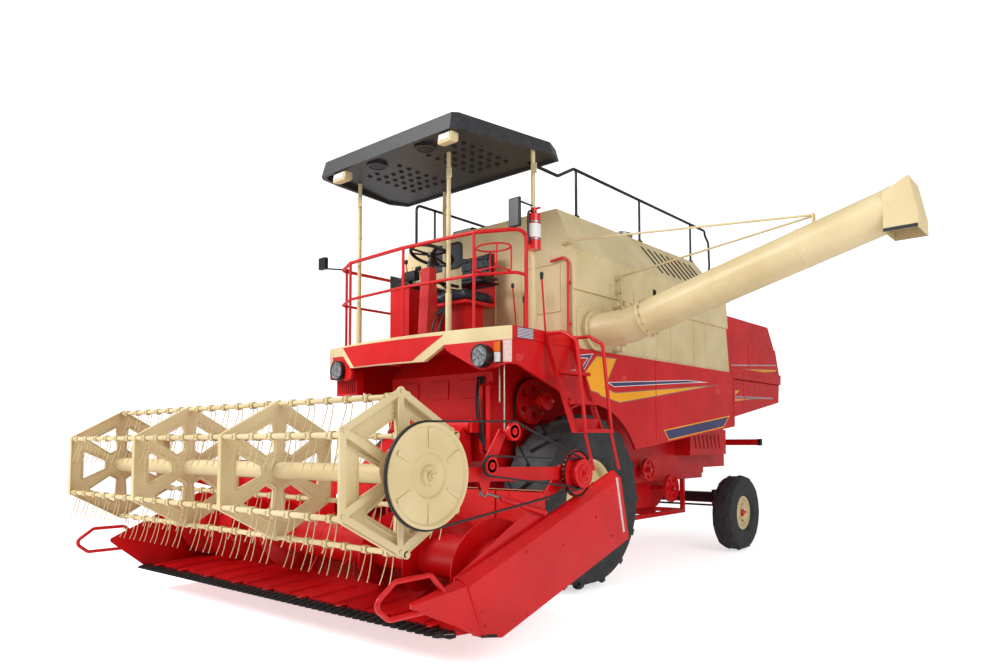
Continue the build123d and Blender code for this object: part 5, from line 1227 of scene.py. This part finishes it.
def dress_hood(hand, side):
    """Bolts and ribs on one side of the straw hood."""
    out = (hand, 0, 0)
    bolts = bmesh.new()
    for y in range(3160, 4560, 175):
        bolt(bolts, (hand * 1187, y, 2222), out, 10)
    low_row = ((3200, 1720), (3700, 1800), (4200, 1880), (4650, 1930))
    for y, z in (*low_row, (3200, 2590), (3700, 2590), (4200, 2590)):
        bolt(bolts, (hand * (HOOD_SIDE + 1), y, z), out, 10)
    piece(f"hood_bolts_{side}", bolts, "root", "paint_red", RED)
    ribs = bmesh.new()
    slab(ribs, hand, 1146, 1153, 3090, 3118, 2660, 2930)
    slab(ribs, hand, 1160, 1167, 3740, 3766, 2300, 2630)
    slab(ribs, hand, 1160, 1166, 3560, 3584, 1740, 2140)
    piece(f"hood_side_ribs_{side}", ribs, "root", "paint_red", RED, bevel=3)


def hood_rear():
    """Handles, hinge leaves and seams on the hood's rear door."""
    handles = bmesh.new()
    for x in (-520, 520):
        route = [(x - 90, 4780, 2420), (x - 90, 4818, 2408), (x + 90, 4818, 2408), (x + 90, 4780, 2420)]
        pipe(handles, bent(route, 20), 8, 10)
    for x in (-900, -300, 300, 900):
        block(handles, x - 40, x + 40, 4658, 4664, 2560, 2620)
    piece("hood_rear_handles", handles, "root", "paint_black", BLACK)
    seams = bmesh.new()
    for x in (-590, 0, 590):
        prism(seams, [(4672, 2636), (4800, 2300), (4808, 2300), (4680, 2638)], "x", x - 12, x + 12)
    piece("hood_rear_seams", seams, "root", "paint_red", RED, bevel=2)


def dress_panels(hand, side):
    """Bolts, rolled wheel-arch edge and upright seams of one side panel."""
    bolts = bmesh.new()
    top_row = [(y, 2185) for y in (-1060, -700, -380)]
    top_row += [(y, 2190) for y in (60, 600, 1200, 1800, 2400, 3000)]
    rear_edge = [(3080, 1900), (3080, 1580)]
    low_row = [(2600, 1510), (2000, 1444), (1400, 1376), (1000, 1330), (-480, 1840), (-980, 2030)]
    for y, z in top_row + rear_edge + low_row:
        bolt(bolts, (hand * (SIDE + 1), y, z), (hand, 0, 0), 10)
    piece(f"side_panel_bolts_{side}", bolts, "root", "paint_red", RED)
    edge = bmesh.new()
    wheel_z = WHEELS["front"]["radius"]
    angles = [math.radians(a) for a in range(36, 118, 4)]
    arch = [(hand * (SIDE - 1), ARCH_R * math.cos(a), wheel_z + ARCH_R * math.sin(a)) for a in angles]
    pipe(edge, arch, 9, 8)
    slab(edge, hand, SIDE - 1, SIDE + 4, 3096, 3116, 1545, 2200)
    slab(edge, hand, SIDE - 1, SIDE + 3, 1180, 1192, 1352, 2200)
    piece(f"side_panel_edges_{side}", edge, "root", "paint_red", RED)


def tail_lamps():
    """Red and amber lenses on a base at each end of the lamp bar, and the bar's end caps."""
    base, red, amber, ends = bmesh.new(), bmesh.new(), bmesh.new(), bmesh.new()
    for hand in (-1, 1):
        slab(base, hand, 830, 1085, 4200, 4226, 1298, 1372)
        slab(red, hand, 840, 955, 4222, 4246, 1306, 1364)
        slab(amber, hand, 960, 1075, 4222, 4246, 1306, 1364)
        slab(ends, hand, 1092, 1138, 4146, 4204, 1289, 1381)
    piece("tail_lamp_base", base, "root", "plastic_black", GRIP, bevel=4)
    piece("tail_lamp_red", red, "root", "glass", RED_LENS, bevel=6)
    piece("tail_lamp_amber", amber, "root", "glass", AMBER_LENS, bevel=6)
    piece("lamp_bar_ends", ends, "root", "paint_black", BLACK, bevel=4)


# ------------------------------------------------------------------ drives

JACKSHAFT_Y, JACKSHAFT_Z, SPROCKET_R = -1330, 1130, 160
CHAIN_LINKS = 60
DRIVE_PULLEY_Y, DRIVE_PULLEY_Z = -280, 1732


def header_drive_chain():
    """Roller chain round the jackshaft's sprocket: outer and inner links take turns."""
    chain = bmesh.new()
    places = [(JACKSHAFT_Y + dy, JACKSHAFT_Z + dz) for dy, dz in ring(CHAIN_LINKS, SPROCKET_R)]
    halves = ring(CHAIN_LINKS, 6, 180 / CHAIN_LINKS)
    for i, ((y, z), (y2, z2), (cy, cz)) in enumerate(zip(places, places[1:] + places[:1], halves)):
        turned(chain, (2025, y, z), "x", [(0, 6.5), (22, 6.5)], 10)
        plates = ((2024, 2026.5), (2045, 2047.5)) if i % 2 else ((2021.5, 2023.5), (2048, 2050))
        for low, high in plates:
            prism(chain, [(y - cy, z - cz), (y2 - cy, z2 - cz), (y2 + cy, z2 + cz), (y + cy, z + cz)],
                  "x", low, high)
    piece("header_drive_chain", chain, "header", "steel_bare", CHAIN_STEEL)


def dress_pulleys():
    """Hub caps and nuts on the jackshaft, the idlers and the thresher's drive shafts."""
    caps = bmesh.new()
    bolt(caps, (2111, JACKSHAFT_Y, JACKSHAFT_Z), "x", 24)
    turned(caps, (2102, JACKSHAFT_Y, JACKSHAFT_Z), "x", [(0, 60), (0.5, 66), (6, 66), (8, 56), (2, 50)], 36)
    for dy, dz in ring(4, 42, 40):
        bolt(caps, (2104, JACKSHAFT_Y + dy, JACKSHAFT_Z + dz), "x", 9)
    piece("jackshaft_caps", caps, "header", "paint_red", RED)
    idler_caps = bmesh.new()
    for x, y, z in ((2094, -2071, 1423), (2070, -2256, 1209)):
        turned(idler_caps, (x, y, z), "x", [(-1, 50), (1, 50), (1, 44), (0, 42)], 28)
        bolt(idler_caps, (x + 3, y, z), "x", 13)
    piece("idler_caps", idler_caps, "reel_arms", "paint_red", RED)
    nuts = bmesh.new()
    for dy, dz in ring(10, 178):
        turned(nuts, (766, DRIVE_PULLEY_Y + dy, DRIVE_PULLEY_Z + dz), "x", [(-9, 9), (-5, 9)], 12)
    for place, size in (((1000, DRIVE_PULLEY_Y, DRIVE_PULLEY_Z), 17), ((779, -420, 1250), 17),
                        ((890, 2180, 800), 15), ((830, 1750, 1030), 15)):
        bolt(nuts, place, "x", size)
    piece("drive_shaft_nuts", nuts, "root", "paint_red", ZINC)


def thresher_front():
    """Plates, covers, slats and drums on the thresher's face, with clipped lines and two control rods."""
    works = bmesh.new()
    for x0, x1 in ((560, 600), (640, 690)):
        prism(works, [(-762, 1240), (-762, 1900), (-800, 1860), (-800, 1280)], "x", x0, x1)
    for x in (-420, 0, 420):
        block(works, x - 130, x + 130, -772, -758, 1760, 1930)
    for i in range(6):
        block(works, -560 + i * 36, -544 + i * 36, -766, -758, 1620, 1740)
    turned(works, (620, -560, 1420), "x", [(72, 60), (200, 60), (204, 52), (206, 20)], 28)
    turned(works, (690, -120, 1320), "x", [(0, 110), (60, 110), (66, 100), (70, 40)], 36)
    piece("thresher_front_works", works, "root", "paint_red", RED, bevel=3)
    lines = bmesh.new()
    for i in range(3):
        x = 520 + i * 34
        route = [(x, -772, 1950), (x, -800, 1700), (560 + i * 30, -800, 1400 - i * 20), (640, -780, 1260)]
        pipe(lines, bent(route, 90), 10, 8)
    piece("hydraulic_lines_clipped", lines, "root", "rubber", SEAL)
    rods = bmesh.new()
    pipe(rods, [(1120, -1085, 1440), (1120, -1085, 2000)], 7, 8)
    pipe(rods, [(905, -905, 1700), (905, -905, 2206)], 7, 8)
    piece("control_rods", rods, "root", "steel_bare", ZINC)


# ------------------------------------------------------------------ header

TROUGH_LEFT, TROUGH_RIGHT, TROUGH_BACK = -2100, 1950, -1622
GUARD_PITCH, GUARD_COUNT = 76.2, 53
SHIELD_OUT = 2045.4
AUGER_Y, AUGER_Z = -1930, 560


def knife_guard(mesh, x):
    """Forged finger that tapers to its tip, with its long edges cut off."""
    rings = []
    for y, wide, low, high in ((-2498, 24, 196, 238), (-2535, 21, 198, 238), (-2575, 14, 203, 234),
                               (-2604, 4, 212, 226)):
        flat = wide * 0.6
        corners = ((-wide, low + 4), (-flat, low), (flat, low), (wide, low + 4),
                   (wide, high - 4), (flat, high), (-flat, high), (-wide, high - 4))
        rings.append([mesh.verts.new((x + dx, y, z)) for dx, z in corners])
    skin(mesh, rings)


def cutter_bar():
    """Guards at the standard pitch on their bar, knife sections between them, bolts and hold-downs."""
    guards = bmesh.new()
    teeth = bmesh.new()
    bolts = bmesh.new()
    for i in range(GUARD_COUNT):
        x = TROUGH_LEFT + 50 + i * GUARD_PITCH
        knife_guard(guards, x)
        bolt(bolts, (x, -2462, 229), "z", 11)
        prism(teeth, [(x + 2, -2498), (x + GUARD_PITCH / 2, -2548), (x + 74, -2498)], "z", 222, 225)
    block(guards, TROUGH_LEFT, TROUGH_RIGHT, -2500, -2446, 186, 205.5)
    piece("knife_guards", guards, "header", "paint_black", FORGED, bevel=1.2)
    piece("knife_sections", teeth, "header", "steel_bare", STEEL)
    piece("knife_guard_bolts", bolts, "header", "paint_red", RED)
    clips = bmesh.new()
    for i in range(9):
        x = -1900 + i * 460
        outline = [(-2440, 230), (-2440, 246), (-2506, 244), (-2520, 238), (-2500, 236)]
        prism(clips, outline, "x", x - 22, x + 22)
    piece("knife_hold_downs", clips, "header", "paint_red", RED, bevel=2)


def dress_trough():
    """Ribs and bolts in the trough, bands on the auger's core, the top edge and the rear panels."""
    ribs = bmesh.new()
    for x in (-1500, -900, -300, 300, 900, 1500):
        outline = [(TROUGH_BACK, 1008), (TROUGH_BACK, 570), (TROUGH_BACK - 7, 570), (TROUGH_BACK - 7, 1008)]
        prism(ribs, outline, "x", x - 14, x + 14)
    for x in range(-2000, 1900, 260):
        bolt(ribs, (x, TROUGH_BACK, 985), (0, -1, 0), 11)
    for x in range(-1950, 1950, 300):
        prism(ribs, [(-2430, 235.5), (-2040, 262), (-2040, 268), (-2430, 241.5)], "x", x - 7, x + 7)
    piece("trough_ribs", ribs, "header", "paint_red", RED)
    bands = bmesh.new()
    for i in range(7):
        x = -1800 + i * 600
        turned(bands, (x - 16, AUGER_Y, AUGER_Z), "x", [(0, 150.5), (2, 153), (30, 153), (32, 150.5)], 48)
    piece("auger_core_bands", bands, "header_auger", "paint_red", RED)
    edge = bmesh.new()
    prism(edge, [(-1620, 1006), (-1620, 1016.5), (-1604, 1016.5), (-1604, 1006)], "x", -2090, 1940)
    piece("trough_top_edge", edge, "header", "paint_cream", CREAM)
    panels = bmesh.new()
    prism(panels, [(-1560, 985), (-1545, 985), (-1545, 965), (-1560, 965)], "x", -1300, 1300)
    for x in (-1000, -600, 600, 1000):
        block(panels, x - 90, x + 90, -1540, -1534, 520, 820)
    piece("trough_rear_panels", panels, "header", "paint_red", RED, bevel=2)


def dress_shield():
    """Reflective tape, bolts with a pressed rib, and a black plate for the drain slot of the left drive
    shield: painted shade where the opening would be dark.
    """
    tape = bmesh.new()
    prism(tape, [(-842, 1080), (-812, 1078), (-722, 660), (-746, 652)], "x", SHIELD_OUT - 0.3, SHIELD_OUT + 2)
    piece("shield_edge_tape", tape, "header", "paint_cream", TAPE)
    bolts = bmesh.new()
    fold = [(-2384, 404), (-2300, 180), (-2292, 184), (-2374, 408)]
    prism(bolts, fold, "x", SHIELD_OUT - 0.5, SHIELD_OUT + 1.5)
    for y, z in ((-2320, 330), (-2290, 240), (-2200, 640), (-1900, 640), (-1500, 640), (-1100, 800),
                 (-880, 980), (-900, 640), (-1500, 340), (-1900, 240)):
        bolt(bolts, (SHIELD_OUT, y, z), "x", 11)
    piece("shield_bolts", bolts, "header", "paint_red", RED)
    # The black plate is painted shade for the drain slot's opening.
    slot = bmesh.new()
    outline = [(-2330, 176), (-2180, 150), (-2190, 172), (-2330, 196)]
    prism(slot, outline, "x", SHIELD_OUT - 0.3, SHIELD_OUT + 1.2)
    piece("shield_drain_slot_painted_shade", slot, "header", "paint_black", BLACK)


def feeder_ribs():
    """Slanted rib and bolts on both sides of the feeder house."""
    trim = bmesh.new()
    for hand, _ in SIDES:
        for y, z in ((-1450, 880), (-1200, 1030), (-1450, 620), (-1200, 880), (-1050, 1280)):
            bolt(trim, (hand * 471, y, z), (hand, 0, 0), 12)
        low, high = sorted((hand * 470, hand * 477))
        prism(trim, [(-1520, 930), (-880, 1480), (-900, 1500), (-1536, 950)], "x", low, high)
    piece("feeder_side_ribs", trim, "header", "paint_red", RED)


# ------------------------------------------------------------------ unloading tube

TUBE_RISE = math.radians(15.5)
TUBE_WAY = Vector((math.cos(TUBE_RISE), 0, math.sin(TUBE_RISE)))
TUBE_ELBOW = Vector((1600, UNLOADER_Y, UNLOADER_Z))
TUBE_R, TUBE_LENGTH = 155.5, 2220


def dress_tube():
    """Flange bolts on both faces, rolled seam bands and the chute's rubber lip."""
    joint = TUBE_ELBOW + TUBE_WAY * 210
    across = Vector((0, 1, 0))
    up = TUBE_WAY.cross(across)
    bolts = bmesh.new()
    for a, b in ring(12, 167):
        radial = across * a + up * b
        bolt(bolts, joint + TUBE_WAY * 13 + radial, TUBE_WAY, 12)
        bolt(bolts, joint - TUBE_WAY * 13 + radial, -TUBE_WAY, 12)
    piece("tube_flange_bolts", bolts, "unloader", "paint_cream", ZINC)
    bands = bmesh.new()
    for share in (0.33, 0.66, 0.97):
        turned(bands, joint + TUBE_WAY * (TUBE_LENGTH * share), TUBE_WAY,
               [(-16, TUBE_R), (-14, TUBE_R + 3.5), (14, TUBE_R + 3.5), (16, TUBE_R)], 48)
    piece("tube_seam_bands", bands, "unloader", "paint_cream", CREAM)
    lip = bmesh.new()
    block(lip, 3830, 4054, -100, -94, 2826, 2850)
    block(lip, 3830, 4054, 211, 220, 2826, 2850)
    piece("chute_lip", lip, "unloader", "rubber", SEAL)


# ------------------------------------------------------------------ stage


FLOOR_GLOW, CAMERA_GLOW = 0.12, 0.5
ROOM_LIGHT, BACKDROP_LIGHT = 0.42, 1.25


def make_floor():
    """White floor that glows a little to the camera alone, so that shadows stay soft on it."""
    material, tree = new_material("studio_floor_pale")
    shader = add(tree, "ShaderNodeBsdfPrincipled",
                 {"Base Color": linear("#FFFFFF"), "Roughness": 0.9, "Emission Color": linear("#FFFFFF"),
                  "Emission Strength": FLOOR_GLOW})
    seen = add(tree, "ShaderNodeLightPath")
    glow = add(tree, "ShaderNodeEmission", {"Strength": CAMERA_GLOW})
    lit = add(tree, "ShaderNodeAddShader", links={0: shader.outputs[0], 1: glow.outputs[0]})
    mixed = add(tree, "ShaderNodeMixShader",
                links={0: seen.outputs["Is Camera Ray"], 1: shader.outputs[0], 2: lit.outputs[0]})
    add(tree, "ShaderNodeOutputMaterial", links={"Surface": mixed.outputs[0]})
    mesh = bpy.data.meshes.new("floor")
    half = 60
    corners = [(-half, -half, 0), (half, -half, 0), (half, half, 0), (-half, half, 0)]
    mesh.from_pydata(corners, [], [(0, 1, 2, 3)])
    mesh.materials.append(material)
    floor = bpy.data.objects.new("floor", mesh)
    bpy.context.scene.collection.objects.link(floor)


def make_world():
    """Even white light, with a brighter backdrop that only the camera sees."""
    world = bpy.data.worlds.new("studio")
    bpy.context.scene.world = world
    world.use_nodes = True
    tree = world.node_tree
    tree.nodes.clear()
    light = add(tree, "ShaderNodeBackground", {"Color": linear("#FFFFFF"), "Strength": ROOM_LIGHT})
    backdrop = add(tree, "ShaderNodeBackground", {"Color": linear("#FFFFFF"), "Strength": BACKDROP_LIGHT})
    seen = add(tree, "ShaderNodeLightPath")
    mixed = add(tree, "ShaderNodeMixShader",
                links={0: seen.outputs["Is Camera Ray"], 1: light.outputs[0], 2: backdrop.outputs[0]})
    add(tree, "ShaderNodeOutputWorld", links={"Surface": mixed.outputs[0]})


# ------------------------------------------------------------------ the whole machine

paint_nodes()
for hand, side in SIDES:
    for axle in WHEELS:
        make_tyre(axle, hand, side)
        dress_hub(axle, hand, side)
for number, (dy, dz) in enumerate(ring(6, REEL_R, 30), 1):
    make_bat(number, REEL_Y + dy, REEL_Z + dz)
dress_reel()
for row in FILMS:
    lay_film(*row)
platform_vent()
dress_front_sheet()
for hand, side in SIDES:
    headlamp(hand, side)
    indicators(hand, side)
tank_window()
work_lamps()
dress_canopy()
dress_posts()
make_seat()
steering_wheel()
make_console()
make_levers()
pedals_and_mat()
dress_mirrors()
dress_extinguisher()
ring_holder()
unloader_flange()
tank_front()
tank_top()
cover_slots()
hood_rear()
for hand, side in SIDES:
    dress_tank(hand, side)
    dress_guard_rail(hand, side)
    dress_hood(hand, side)
    dress_panels(hand, side)
tail_lamps()
header_drive_chain()
dress_pulleys()
thresher_front()
cutter_bar()
dress_trough()
dress_shield()
feeder_ribs()
dress_tube()

make_camera()
bpy.context.scene.view_settings.view_transform = "Standard"
make_floor()
make_world()
make_light("key", at(-3500, -9000, 8500), at(0, 0, 1500), 6, 1250)
make_light("fill", at(10000, -2500, 5000), at(0, 1500, 1500), 7, 420)
